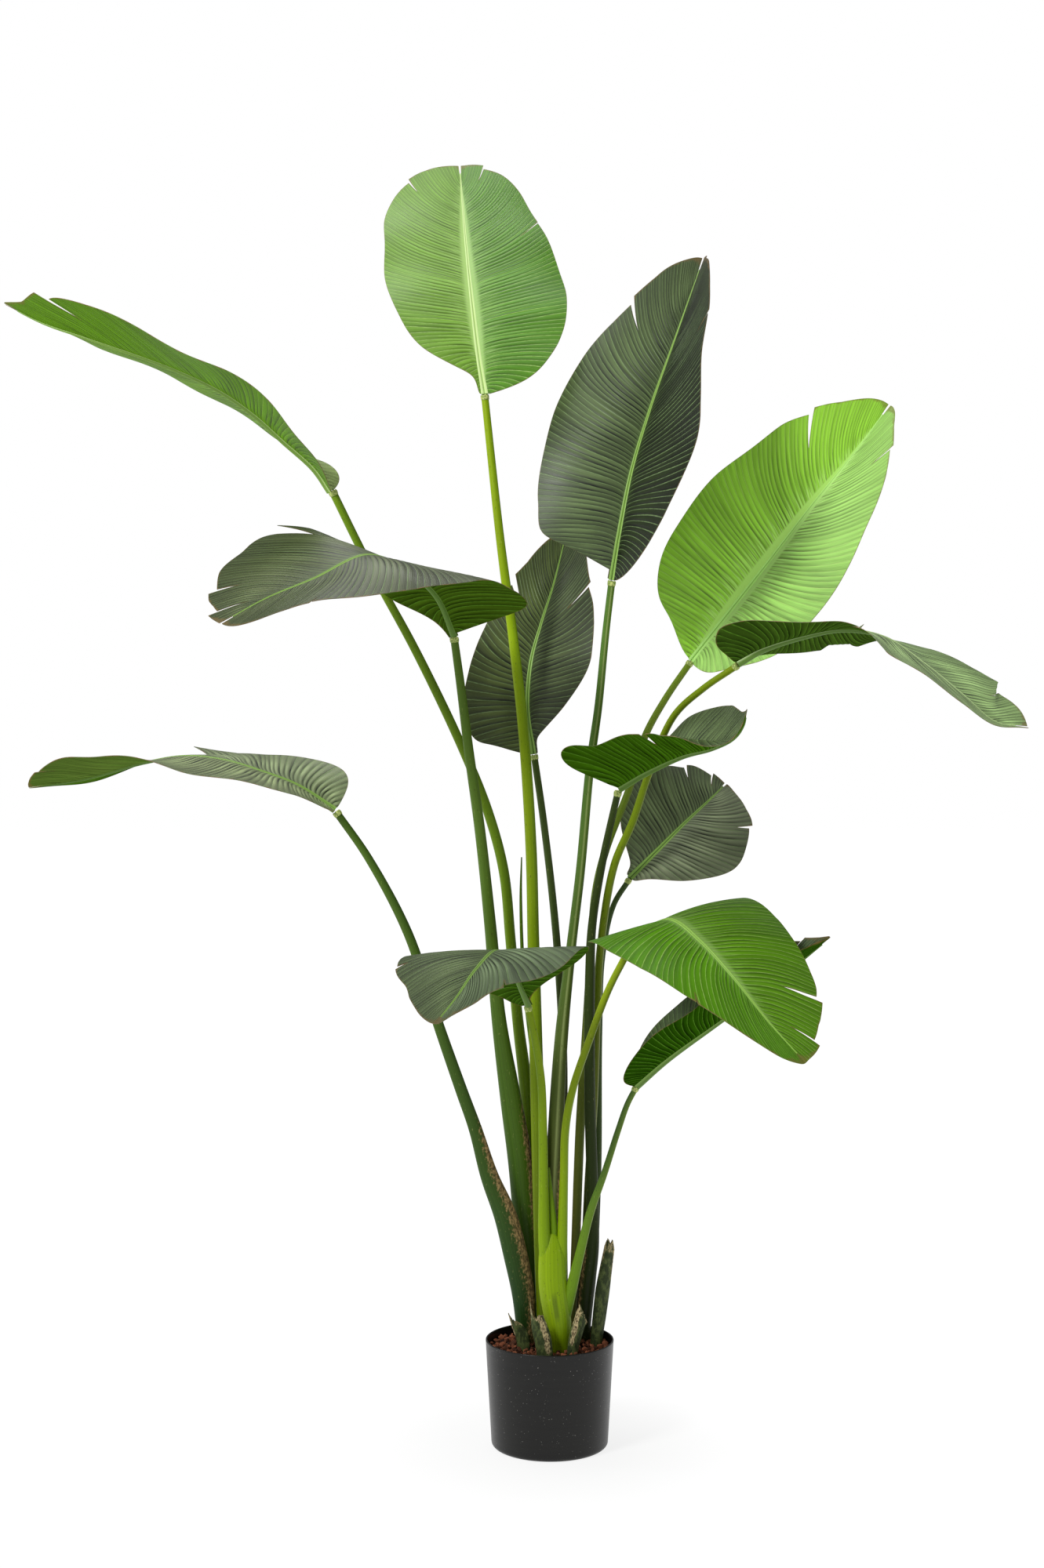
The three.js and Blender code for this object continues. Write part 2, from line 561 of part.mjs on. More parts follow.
function bladeSolid(spec) {
  const curve = new THREE.CatmullRomCurve3(spec.rib.map((p) => seen(...p)));
  const blade = { ...spec, curve, length: curve.getLength() };
  const upper = [];
  const lower = [];
  const numbers = new Map();
  const faces = [];
  const vertex = (side, u, v, [x, y, lift]) => {
    const { point, face } = onBlade(blade, side, x, y);
    point.addScaledVector(face, lift);
    const key = point.toArray().map((c) => c.toFixed(3)).join();
    if (!numbers.has(key)) {
      numbers.set(key, upper.length);
      const keel = v === 0 ? KEEL * (1 - 0.8 * u) : 0;
      upper.push(point.clone().addScaledVector(face, BLADE / 2));
      lower.push(point.clone().addScaledVector(face, -BLADE / 2 - keel));
    }
    return numbers.get(key);
  };
  for (const side of ['left', 'right']) {
    const rows = [];
    for (let i = 0; i <= VEINS; i += 1) {
      const u = i / VEINS;
      const split = blade[side].splits.find((s) => Math.abs(u - s[0]) <= 0.5 / VEINS);
      const open = split ? [-1, 1] : [0];
      for (const way of open) {
        const row = vein(blade, side, u, way ? snap(split) : null, way);
        rows.push({ way, list: row.map((place, j) => vertex(side, u, ACROSS[j], place)) });
      }
    }
    for (let i = 0; i < rows.length - 1; i += 1) {
      if (rows[i + 1].way === 1) continue;
      for (let j = 0; j < ACROSS.length - 1; j += 1) {
        const a = rows[i].list[j];
        const b = rows[i].list[j + 1];
        const c = rows[i + 1].list[j + 1];
        const d = rows[i + 1].list[j];
        const pair = side === 'right' ? [[a, b, c], [a, c, d]] : [[a, c, b], [a, d, c]];
        faces.push(...pair.filter(([p, q, r]) => p !== q && q !== r && r !== p));
      }
    }
  }
  return thicken(upper, lower, faces);
}

// A split opens from the nearest line of points across the blade.
function snap(split) {
  const [, depth, opening, lift = 0] = split;
  const start = ACROSS.filter((v) => v <= Math.min(0.7, 1.1 - depth)).pop();
  return { depth: 1 - start, opening, lift };
}

// Closes a sheet: its upper face, the same triangles turned over below, and a wall on each edge.
function thicken(upper, lower, faces) {
  const count = upper.length;
  const edges = new Set(faces.flatMap(([a, b, c]) => [`${a},${b}`, `${b},${c}`, `${c},${a}`]));
  const triangles = [];
  for (const [a, b, c] of faces) {
    triangles.push(a, b, c, a + count, c + count, b + count);
    for (const [p, q] of [[a, b], [b, c], [c, a]]) {
      if (edges.has(`${q},${p}`)) continue;
      triangles.push(q, p, p + count, q, p + count, q + count);
    }
  }
  return solidOf([...upper, ...lower].flatMap((p) => [p.x, p.y, p.z]), triangles);
}

function turned(profile, sides = POT.sides) {
  const count = profile.length;
  const positions = [];
  const triangles = [];
  const ring = (k) => 2 + k * (count - 2);
  positions.push(0, 0, profile[0][1], 0, 0, profile[count - 1][1]);
  for (let s = 0; s < sides; s += 1) {
    const angle = (2 * Math.PI * s) / sides;
    for (const [r, z] of profile.slice(1, -1)) {
      positions.push(r * Math.cos(angle), r * Math.sin(angle), z);
    }
  }
  for (let s = 0; s < sides; s += 1) {
    const here = ring(s);
    const next = ring((s + 1) % sides);
    triangles.push(0, next, here);
    for (let k = 0; k < count - 3; k += 1) {
      triangles.push(here + k, next + k, next + k + 1, here + k, next + k + 1, here + k + 1);
    }
    triangles.push(here + count - 3, next + count - 3, 1);
  }
  return solidOf(positions, triangles);
}

const wallAt = (z) => POT.foot + ((POT.rim - POT.foot) * z) / POT.height;

function pot() {
  const { bend, wall, floor, height } = POT;
  const inside = (z) => wallAt(z) - wall;
  return turned([
    [0, 0],
    [wallAt(0) - bend, 0],
    [wallAt(0) - bend * 0.3, bend * 0.3],
    [wallAt(bend), bend],
    [wallAt(height - 1), height - 1],
    [wallAt(height) - 0.6, height],
    [inside(height), height],
    [inside(bend), bend],
    [inside(bend) - 3, floor],
    [0, floor],
  ]);
}

function layer(bottom, top, step = 0) {
  const edge = (z) => wallAt(z) - POT.wall - GAP - 0.2;
  const profile = [[0, bottom], [edge(bottom + 4) - 3.5, bottom]];
  profile.push([edge(bottom + 4), bottom + 4], [edge(top), top]);
  if (step) profile.push([edge(top) * 0.5, top + step]);
  profile.push([0, top + step]);
  return turned(profile);
}

// A repeatable run of numbers from 0 to 1.
function numbersFrom(seed) {
  let state = seed;
  return () => {
    state = (state * 1664525 + 1013904223) % 4294967296;
    return state / 4294967296;
  };
}

// One lava granule: an eight-sided lump, squashed and turned.
function granule(random) {
  const geometry = new THREE.OctahedronGeometry(GRANULE * (0.8 + 0.4 * random()));
  geometry.scale(1, 0.6 + 0.3 * random(), 0.6 + 0.3 * random());
  geometry.rotateX(6.28 * random());
  geometry.rotateY(6.28 * random());
  geometry.rotateZ(6.28 * random());
  const position = geometry.getAttribute('position');
  const found = new Map();
  const positions = [];
  const triangles = [];
  for (let i = 0; i < position.count; i += 1) {
    const point = [position.getX(i), position.getY(i), position.getZ(i)];
    const key = point.map((c) => c.toFixed(3)).join();
    if (!found.has(key)) {
      found.set(key, positions.length / 3);
      positions.push(...point);
    }
    triangles.push(found.get(key));
  }
  return solidOf(positions, triangles);
}

function granules(holes) {
  const random = numbersFrom(17);
  let solid = layer(SOIL_TOP + GAP, GRANULES_TOP - 5);
  const rings = [[8, 5], [28, 10], [50, 16], [73, 23]];
  for (const [radius, count] of rings) {
    for (let k = 0; k < count; k += 1) {
      const angle = (2 * Math.PI * (k + 0.6 * random())) / count;
      const r = radius + 5 * (random() - 0.5);
      const z = GRANULES_TOP - 4 + 3 * random();
      solid = solid.add(granule(random).translate([r * Math.cos(angle), r * Math.sin(angle), z]));
    }
  }
  const pieces = solid.subtract(holes).decompose();
  return pieces.sort((a, b) => b.volume() - a.volume())[0];
}

const plant = new THREE.Group();

function place(name, solid, colour, roughness = 0.5) {
  const material = new THREE.MeshStandardMaterial({ color: colour, roughness, metalness: 0 });
  const mesh = new THREE.Mesh(geometryOf(solid), material);
  mesh.name = name;
  plant.add(mesh);
}

const shootSolid = SHOOT.stalks.map((s) => stalk(s)).reduce((all, one) => all.add(one));
let holes = stalk({ ...SHOOT.stalks[0], path: SHOOT.stalks[0].path.slice(0, 2) }, 0, 2 * GAP);
for (const spec of PETIOLES) {
  holes = holes.add(stalk({ ...spec, path: spec.path.slice(0, 2) }, STALK_FOOT - GAP, 2 * GAP));
}
for (const spec of STUMPS) holes = holes.add(stump(spec, STUMP_FOOT - GAP, 3 * GAP));

place('pot', pot(), COLOUR.pot, 0.55);
place('soil', layer(POT.floor + GAP, SOIL_TOP).subtract(holes), COLOUR.soil, 0.95);
place('granules', granules(holes), COLOUR.granules, 0.9);
place(SHOOT.name, shootSolid, COLOUR[SHOOT.colour]);
for (const spec of PETIOLES) place(spec.name, stalk(spec), COLOUR[spec.colour]);
for (const spec of STUMPS) place(spec.name, stump(spec), COLOUR.stump, 0.8);
BLADES.forEach((spec, i) => {
  const name = `blade_${String(i + 1).padStart(2, '0')}`;
  place(name, bladeSolid(spec), spec.young ? COLOUR.young : COLOUR.old, 0.45);
});

export default plant;
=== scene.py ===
import math

import bmesh
import bpy
import numpy as np
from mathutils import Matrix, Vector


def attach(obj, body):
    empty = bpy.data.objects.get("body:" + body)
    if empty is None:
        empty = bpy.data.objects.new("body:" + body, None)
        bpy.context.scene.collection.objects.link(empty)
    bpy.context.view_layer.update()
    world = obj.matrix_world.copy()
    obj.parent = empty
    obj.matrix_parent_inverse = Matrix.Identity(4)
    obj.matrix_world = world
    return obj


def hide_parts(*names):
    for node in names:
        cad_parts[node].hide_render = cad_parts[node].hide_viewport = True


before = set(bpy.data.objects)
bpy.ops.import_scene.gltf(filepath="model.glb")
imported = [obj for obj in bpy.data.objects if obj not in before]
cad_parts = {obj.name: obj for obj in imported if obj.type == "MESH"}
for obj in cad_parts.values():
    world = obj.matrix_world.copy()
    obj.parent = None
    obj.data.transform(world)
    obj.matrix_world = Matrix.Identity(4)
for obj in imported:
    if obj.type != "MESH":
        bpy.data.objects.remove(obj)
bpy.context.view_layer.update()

# A potted bird of paradise. The tables repeat the named values that its solids are drawn from, in
# millimetres, and every mesh is made in metres, +Z up, with the front toward -Y.

MM = 0.001
POT = {"rim": 95, "foot": 86, "height": 157, "wall": 2.8, "floor": 4, "bend": 7}
SOIL_TOP = 130
GRANULES_TOP = 146
STALK_FOOT = 60
STUMP_FOOT = 112
# The gap between the soil and the granules, and between a stalk's end and its blade.
GAP = 0.5
SOCKET = 1.5
# The keel's depth, the least reach at the base, the rib's share of the length, and the veins' lean.
KEEL = 5
NECK = 7
RIB_END = 0.93
VEIN_SWEEP = 0.8
WAVE = {"height": 3, "count": 3.1, "start": 0.2}

# The width of a pleat, how fast a split's opening fades beside it, and the mesh's fineness.
PLEAT = 7.4
SPLIT_REACH = 11
ROWS_PER_PLEAT = 4
COLUMNS = 20
# The blade's thickness, how its veins hook back where they leave the rib, where its lobe is and how
# wide, the painted sheen that lightens an old blade's upper face midway out, and the pleats' depth
# and the midrib's colours, one of them painted shade along its groove.
SHEET = 0.9
HOOK = {"back": 9, "fade": 0.09}
LOBE = {"place": 0.07, "width": 0.05}
SHEEN = {"edge": 0.84, "middle": 0.34, "width": 0.24}
PLEAT_DEPTH = {"old": 1.3, "young": 0.9}
# The groove colour is painted shade along the channel on the midrib's top.
RIB_COLOURS = {
    "old": {"light": (138, 176, 84), "groove_shade": (84, 120, 44), "keel": (88, 122, 42)},
    "young": {"light": (200, 226, 150), "groove_shade": (140, 174, 84), "keel": (110, 144, 54)},
}

# The eye that the front view is drawn for, and the scale of that view.
EYE = {"x": -41, "y": -3056, "z": 979, "focal": 2628, "across": 665.5, "down": 1000}


def half(out, reach, lobe=0, splits=(), curl=(0, 0, 0)):
    """Half a blade: the way that it spreads from the rib at even steps along it, how far out its
    veins reach from base to tip, how far its lobe falls behind the base, its splits as [place,
    depth, opening, lift of the lip nearer the base], and how far it curls."""
    return {"out": out, "reach": reach, "lobe": lobe, "splits": splits, "curl": curl}


def stalk(flat, path, foot=None, **more):
    """A stalk: how flat its section is, its path as [across, down, depth, width] from the soil up,
    and where it stands in the soil as [x, y, width]."""
    return {"flat": flat, "path": path, "foot": foot, **more}


# Each blade: its midrib from base to tip as [across, down, depth], its left half and its right.
BLADES = [
    (
        [[618, 503, 60], [611, 460, 90], [603, 395, 150], [594, 310, 250], [586, 212, 390]],
        half([[-1, -0.25, -0.05], [-1, -0.2, 0], [-1, -0.15, 0]],
             [7, 20, 87, 119, 133, 131, 129, 110, 80, 45, 2], -10, [[0.78, 0.2, 10]],
             [-10, -20, -15]),
        half([[1, -0.25, 0.1], [1, -0.2, 0], [1, -0.15, 0]],
             [7, 95, 133, 148, 143, 132, 111, 94, 69, 36, 2], 9,
             [[0.56, 0.28, 4], [0.89, 0.3, 11]], [-10, -20, -20]),
    ),
    (
        [[780, 740, 10], [790, 680, 5], [806, 600, 15], [830, 520, 40], [860, 435, 80],
         [897, 330, 140]],
        half([[-1, -0.2, -0.1], [-1, -0.15, 0.1], [-1, -0.05, 0.2], [-1, 0, 0.3]],
             [-45, 98, 130, 142, 148, 134, 102, 74, 50, 22, 2], -16, [[0.66, 0.3, 17]],
             [-30, -45, -40]),
        half([[0.6, -0.78, 0.1], [0.45, -0.88, -0.05], [0.36, -0.93, -0.1], [0.3, -0.95, -0.1]],
             [7, 52, 104, 148, 125, 98, 80, 58, 36, 18, 2], 0, [[0.6, 0.2, 8], [0.95, 0.5, 5]],
             [-5, -10, 0]),
    ),
    (
        [[881, 843, 140], [920, 793, 120], [975, 723, 110], [1035, 645, 120], [1085, 583, 145],
         [1134, 517, 180]],
        half([[-0.8, -0.2, 0.55], [-0.8, -0.15, 0.6], [-0.8, -0.1, 0.6]],
             [7, 84, 132, 148, 148, 128, 112, 83, 52, 26, 2], -14, [[0.67, 0.38, 17]],
             [-20, -25, -20]),
        half([[0.66, -0.66, -0.36], [0.5, -0.7, -0.5], [0.58, -0.62, -0.52]],
             [7, 58, 118, 136, 124, 103, 76, 50, 29, 15, 2], 10, [[0.7, 0.27, 10]],
             [-10, -10, -10]),
    ),
    (
        [[941, 847, -50], [970, 830, -55], [1020, 813, -60], [1075, 803, -64], [1128, 812, -68],
         [1180, 847, -73], [1230, 888, -75], [1268, 920, -72], [1310, 928, -64]],
        half([[0.1, 0.98, 0], [0.1, 0.97, -0.12], [0.14, 0.97, -0.2], [0.17, 0.96, -0.24],
              [0.23, 0.96, 0.06], [0.3, 0.92, 0.22], [0.45, 0.82, 0.33], [0.55, 0.74, 0.4],
              [0.6, 0.65, 0.45]],
             [7, 45, 80, 100, 105, 104, 96, 97, 74, 46, 3], 0,
             [[0.364, 0.3, -2, 34], [0.8, 0.42, 6]]),
        half([[-0.65, -0.5, 0.6], [-0.3, -0.88, 0.3], [-0.17, -0.97, 0.05], [-0.2, -0.97, -0.04],
              [-0.27, -0.93, -0.21], [-0.28, -0.94, -0.18], [-0.28, -0.95, -0.14],
              [-0.28, -0.95, -0.1], [-0.2, -0.97, -0.1]],
             [7, 72, 95, 106, 100, 92, 72, 48, 25, 12, 3], 26, [[0.34, 0.3, 12]]),
    ),
    (
        [[421, 627, -20], [401, 598, -32], [362, 563, -45], [324, 529, -55], [281, 499, -65],
         [220, 470, -75], [110, 431, -80], [52, 411, -76], [6, 388, -70]],
        half([[0.05, -1, 0.1], [0.15, -0.97, 0.08], [0.3, -0.94, 0.06], [0.27, -0.95, 0.06],
              [0.27, -0.95, 0.06], [0.3, -0.94, 0.14], [0.37, -0.89, 0.24], [0.37, -0.87, 0.3],
              [0.33, -0.92, 0.15]],
             [7, 45, 80, 98, 102, 100, 90, 72, 32, 12, 3], 2, [[0.72, 0.34, 26]]),
        half([[0.65, 0.7, -0.05], [0.05, 1, 0.1], [-0.2, 0.97, 0.1], [-0.22, 0.97, 0.07],
              [-0.2, 0.97, 0.07], [-0.21, 0.97, 0.08], [-0.22, 0.96, 0.12], [-0.22, 0.95, 0.2],
              [-0.22, 0.95, 0.22]],
             [7, 50, 80, 95, 98, 90, 75, 52, 30, 12, 3], 10),
    ),
    (
        [[579, 812, -20], [556, 760, -60], [512, 722, -120], [465, 708, -180], [400, 738, -230],
         [340, 763, -270], [282, 795, -300]],
        half([[0.95, -0.2, 0.05], [0.85, -0.4, -0.05], [0.75, -0.55, -0.25], [0.6, -0.65, -0.35],
              [0.5, -0.65, -0.4]],
             [-40, 122, 136, 150, 128, 97, 56, 43, 33, 20, 2], -4, [[0.62, 0.1, 5]],
             [-15, -20, -15]),
        half([[-0.9, 0.3, 0.1], [-0.8, 0.5, 0.2], [-0.6, 0.6, 0.4], [-0.5, 0.6, 0.45],
              [-0.4, 0.6, 0.5]],
             [7, 20, 91, 100, 112, 158, 138, 110, 71, 38, 2], 6,
             [[0.47, 0.33, 4, 12], [0.8, 0.25, 14], [0.93, 0.6, 14]], [-10, -10, -10]),
    ),
    (
        [[681, 962, 110], [673, 905, 110], [677, 845, 120], [690, 796, 135], [706, 745, 160],
         [722, 680, 200]],
        half([[-1, -0.25, 0], [-1, -0.2, 0.1], [-1, -0.1, 0.2]],
             [7, 75, 98, 94, 82, 73, 57, 43, 28, 14, 2], -10, [[0.57, 0.42, 22]], [-10, -15, -10]),
        half([[0.72, -0.7, 0], [0.72, -0.7, 0], [0.72, -0.65, 0]],
             [7, 16, 71, 112, 110, 96, 67, 52, 38, 20, 2], -6, [[0.58, 0.4, 9]], [-10, -10, -10]),
    ),
    (
        [[427, 1033, -30], [380, 1002, -40], [335, 984, -50], [286, 969, -55], [235, 964, -60],
         [185, 972, -65], [110, 993, -75], [37, 1005, -85]],
        half([[-0.1, -0.97, -0.08], [-0.12, -0.96, -0.06], [-0.1, -0.95, -0.15],
              [-0.07, -0.93, -0.26], [0, -0.97, -0.22], [0, -1, -0.02], [-0.07, -0.97, 0.2],
              [-0.09, -0.9, 0.4], [-0.05, -0.95, 0.3]],
             [7, 45, 80, 93, 98, 98, 92, 82, 62, 34, 3], 0, [[0.84, 0.2, 6]]),
        half([[0.5, 0.6, 0.62], [0.27, 0.86, 0.4], [0.11, 0.97, 0.2], [0.02, 0.99, 0.1],
              [0, 1, 0.04], [0, 1, 0.02], [0.02, 1, 0.03], [0, 1, -0.04], [0, 1, 0]],
             [7, 74, 92, 96, 98, 96, 90, 80, 60, 32, 3], 10, [[0.42, 0.3, 3, 13]]),
    ),
    (
        [[790, 1006, -10], [822, 987, -32], [870, 965, -75], [908, 955, -120], [935, 942, -160],
         [948, 925, -185], [952, 908, -205]],
        half([[0.3, 0.8, 0.45], [0.3, 0.8, 0.5], [0.27, 0.78, 0.55], [0.26, 0.72, 0.62],
              [0.28, 0.6, 0.7], [0.25, 0.6, 0.7], [0.16, 0.62, 0.74], [0.15, 0.75, 0.62],
              [0.15, 0.75, 0.6]],
             [7, 60, 90, 100, 94, 80, 58, 40, 22, 10, 2], 4),
        half([[-0.64, -0.7, 0.36], [-0.63, -0.69, 0.37], [-0.65, -0.66, 0.35],
              [-0.67, -0.65, 0.33], [-0.68, -0.68, 0.27], [-0.7, -0.68, 0.2], [-0.78, -0.6, 0.08],
              [-0.5, -0.75, -0.42], [-0.4, -0.8, -0.45]],
             [20, 142, 114, 106, 104, 98, 76, 38, 15, 7, 2], 20, [[0.41, 0.5, 16]]),
    ),
    (
        [[803, 1120, 110], [838, 1085, 140], [873, 1050, 180], [905, 1020, 230], [925, 1000, 280]],
        half([[-0.7, -0.2, 0.7], [-0.7, -0.1, 0.7], [-0.8, 0, 0.6]],
             [7, 20, 68, 98, 100, 95, 84, 68, 54, 26, 2], -4, [[0.715, 0.3, 12], [0.9, 0.5, 9]],
             [-10, -15, -10]),
        half([[0.75, -0.55, -0.5], [0.75, -0.6, -0.5], [0.75, -0.55, -0.4]],
             [7, 26, 71, 106, 111, 98, 79, 50, 25, 10, 2], 0, [[0.58, 0.22, 10]], [-10, -15, -10]),
    ),
    (
        [[673, 1282, -60], [661, 1254, -100], [650, 1228, -140], [633, 1212, -190],
         [606, 1237, -262], [582, 1272, -322], [555, 1306, -370]],
        half([[1, -0.2, 0.3], [1, -0.2, 0.2], [0.8, -0.5, -0.2], [0.5, -0.75, -0.4]],
             [7, 10, 64, 120, 112, 90, 44, 27, 13, 6, 0], 6, [[0.58, 0.12, 7]], [-15, -12, -10]),
        half([[-0.9, 0.3, -0.1], [-1, 0.1, 0], [-0.92, 0.3, -0.02], [-0.9, 0.4, 0]],
             [7, 30, 80, 112, 128, 125, 90, 68, 42, 18, 0], 6, [[0.5, 0.12, 7]], [-10, -10, -20]),
    ),
    (
        [[802, 1212, -80], [822, 1187, -120], [855, 1173, -175], [893, 1201, -232],
         [933, 1245, -272], [980, 1304, -300], [1027, 1356, -316]],
        half([[0.8, 0.5, 0.25], [0.7, 0.55, 0.35], [0.7, 0.45, 0.5], [0.75, 0.35, 0.4]],
             [7, 60, 116, 138, 138, 122, 109, 92, 58, 28, 0], 6,
             [[0.72, 0.42, 14], [0.88, 0.4, 10]], [-20, -20, -20]),
        half([[-0.9, -0.3, -0.1], [-0.8, -0.5, -0.2], [-0.56, -0.75, -0.38], [-0.55, -0.75, -0.4]],
             [7, 60, 112, 119, 100, 87, 63, 43, 28, 12, 0], 6, [[0.54, 0.12, 3]],
             [5, -15, -20, -10]),
    ),
    (
        [[812, 1385, -20], [850, 1352, -60], [922, 1300, -110], [990, 1250, -140],
         [1059, 1196, -150]],
        half([[-0.3, 0.7, 0.55], [-0.3, 0.7, 0.6], [-0.3, 0.7, 0.6]],
             [7, 44, 66, 69, 75, 75, 66, 48, 22, 8, 2], 2, [[0.77, 0.25, 8]], [0, -5, -10]),
        half([[-0.4, -0.8, 0.4], [-0.35, -0.85, 0.38], [-0.3, -0.85, 0.35]],
             [7, 40, 62, 71, 77, 74, 60, 40, 22, 8, 2], 6, [], [15, 10, 0]),
    ),
]
YOUNG = (1, 3, 5, 12)

PETIOLES = {
    "petiole_01": stalk(
        0.85, [[692, 1640, 24, 23], [685, 1400, 32, 21], [680, 1200, 34, 18], [677, 1080, 36, 17],
               [668, 940, 40, 16], [655, 820, 45, 15], [638, 690, 50, 13], [618, 505, 60, 11]],
        [-7, 24, 22], colour="bright"),
    "petiole_02": stalk(
        0.8, [[707, 1640, 44, 25], [704, 1560, 46, 26], [708, 1450, 46, 24], [716, 1320, 44, 20],
              [728, 1210, 42, 15], [740, 1110, 40, 14], [752, 980, 38, 13], [763, 900, 30, 12],
              [772, 810, 20, 11], [780, 742, 10, 10.5]],
        [12, 44, 24], colour="green"),
    "petiole_03": stalk(
        0.85, [[732, 1640, 53, 14], [737, 1500, 59, 14], [740, 1430, 62, 14], [747, 1320, 66, 13],
               [753, 1220, 70, 12], [759, 1140, 76, 12], [772, 1085, 82, 12], [803, 1004, 96, 11],
               [822, 940, 112, 11], [848, 892, 126, 10.5], [880, 845, 140, 10]],
        [33, 51, 13], colour="bright"),
    "petiole_04": stalk(
        0.85, [[743, 1640, 72, 14], [751, 1500, 80, 13], [757, 1400, 84, 13],
               [761, 1290, 86, 12.5], [766, 1205, 84, 12], [783, 1104, 78, 12],
               [807, 1047, 70, 11.5], [826, 990, 60, 11], [858, 915, 26, 10.5],
               [897, 878, -20, 10], [940, 849, -49, 9.5]],
        [40, 68, 13], colour="green"),
    "petiole_05": stalk(
        0.8, [[692, 1640, 78, 22], [682, 1540, 80, 24], [672, 1400, 82, 21], [660, 1300, 80, 17],
              [651, 1200, 76, 16], [642, 1110, 70, 15.5], [622, 1035, 60, 15], [590, 955, 50, 14],
              [530, 830, 30, 13], [470, 720, 5, 12], [424, 627, -20, 11.5]],
        [-4, 76, 20], colour="green"),
    "petiole_06": stalk(
        0.68, [[679, 1640, 55, 33], [670, 1560, 52, 36], [663, 1480, 50, 37], [651, 1400, 46, 32],
               [636, 1300, 36, 22], [625, 1180, 25, 18], [612, 1060, 8, 16], [598, 960, -3, 14.5],
               [588, 880, -12, 13], [579, 814, -20, 11.5]],
        [-26, 57, 28], colour="green"),
    "petiole_07": stalk(
        0.85, [[717, 1640, 74, 17], [716, 1500, 80, 16], [718, 1350, 80, 13], [712, 1230, 85, 12],
               [704, 1140, 90, 11.5], [692, 1040, 100, 11], [681, 964, 109, 10.5]],
        [22, 72, 15], colour="dark"),
    "petiole_08": stalk(
        0.68, [[667, 1650, 20, 34], [657, 1600, 16, 36], [644, 1550, 12, 34], [624, 1500, 8, 27],
               [606, 1440, 2, 20], [588, 1390, -3, 18], [560, 1310, -12, 16], [520, 1190, -20, 14],
               [470, 1095, -27, 12], [429, 1036, -30, 11]],
        [-35, 23, 27], colour="dark"),
    "petiole_09": stalk(
        0.8, [[748, 1640, 36, 25], [754, 1590, 38, 23], [755, 1520, 40, 18], [752, 1400, 40, 16.5],
              [752, 1250, 38, 15], [755, 1180, 31, 13], [768, 1100, 18, 11.5],
              [781, 1040, 0, 10.5], [788, 1010, -8, 10]],
        [50, 35, 22], colour="dark"),
    "petiole_10": stalk(
        0.85, [[754, 1640, 66, 12], [762, 1500, 98, 11], [764, 1320, 106, 9.5],
               [768, 1220, 108, 9], [782, 1155, 109, 8.5], [802, 1122, 110, 8.5]],
        [53, 58, 11], colour="dark"),
    "spear": stalk(
        0.9, [[699, 1640, 58, 8], [685, 1400, 61, 7.5], [668, 1250, 60, 6], [664, 1150, 60, 4.5],
              [665, 1092, 60, 2]],
        [-3, 57, 8], colour="green"),
}

# The front shoot: its sheath, two petioles that part from it, a bud and a third petiole.
SHOOT = [
    stalk(0.8, [[712, 1690, -20, 38], [705, 1640, -18, 43], [704, 1600, -16, 42],
                [704, 1572, -15, 34]], [14, -20, 30]),
    stalk(0.85, [[698, 1640, -17, 18], [694, 1580, -17, 18], [693, 1520, -16, 15],
                 [692, 1440, -20, 13], [690, 1380, -28, 12], [683, 1330, -42, 11],
                 [673, 1284, -59, 10]], blade=True),
    stalk(0.85, [[716, 1640, -16, 16], [717, 1580, -15, 15], [719, 1500, -14, 12.5],
                 [721, 1440, -16, 12], [730, 1390, -22, 11.5], [752, 1325, -36, 11],
                 [776, 1262, -58, 10.5], [800, 1215, -79, 10]], blade=True),
    stalk(0.8, [[705, 1640, -14, 14], [706, 1570, -12, 12], [702, 1520, -10, 7],
                [700, 1488, -8, 2]]),
    stalk(0.6, [[716, 1700, -22, 16], [727, 1650, -22, 17], [739, 1600, -21, 14],
                [753, 1545, -20, 12], [770, 1498, -18, 10], [788, 1442, -16, 9],
                [800, 1408, -17, 8.5], [811, 1387, -19, 8.5]], blade=True),
]

# Each stump of an old leaf: a bowed strip, the way that its back faces, and its torn top. The bare
# patch is given by its middle across the strip, its half width, and where it starts.
STUMPS = [
    {"name": "stump_01", "foot": [-39, -10, 20], "turn": -24, "bow": 5, "thick": 3,
     "path": [[664, 1700, -10, 22], [657, 1683, -12, 23]], "torn": [8, 3, -1, -2, -6],
     "bare": [-0.85, 0.25, 0.5]},
    {"name": "stump_02", "foot": [-8, -52, 24], "turn": -10, "bow": 7, "thick": 3,
     "path": [[690, 1700, -50, 26], [684, 1680, -50, 19]], "torn": [22, 4, 0, 4, 2],
     "bare": [0.55, 0.4, 0.28]},
    {"name": "stump_03", "foot": [33, -44, 17], "turn": 25, "bow": 5, "thick": 3,
     "path": [[735, 1700, -42, 21], [741, 1680, -42, 19]], "torn": [4, 19, 10, -2, -9],
     "bare": [-0.6, 0.34, 0.4]},
    {"name": "stump_04", "foot": [70, 15, 19], "turn": 20, "bow": 4, "thick": 4,
     "path": [[764, 1680, 15, 21], [769, 1640, 16, 22], [777, 1590, 18, 15]],
     "torn": [3, 12, 5, 10, -4], "bare": [0.9, 0.12, 0.75]},
]
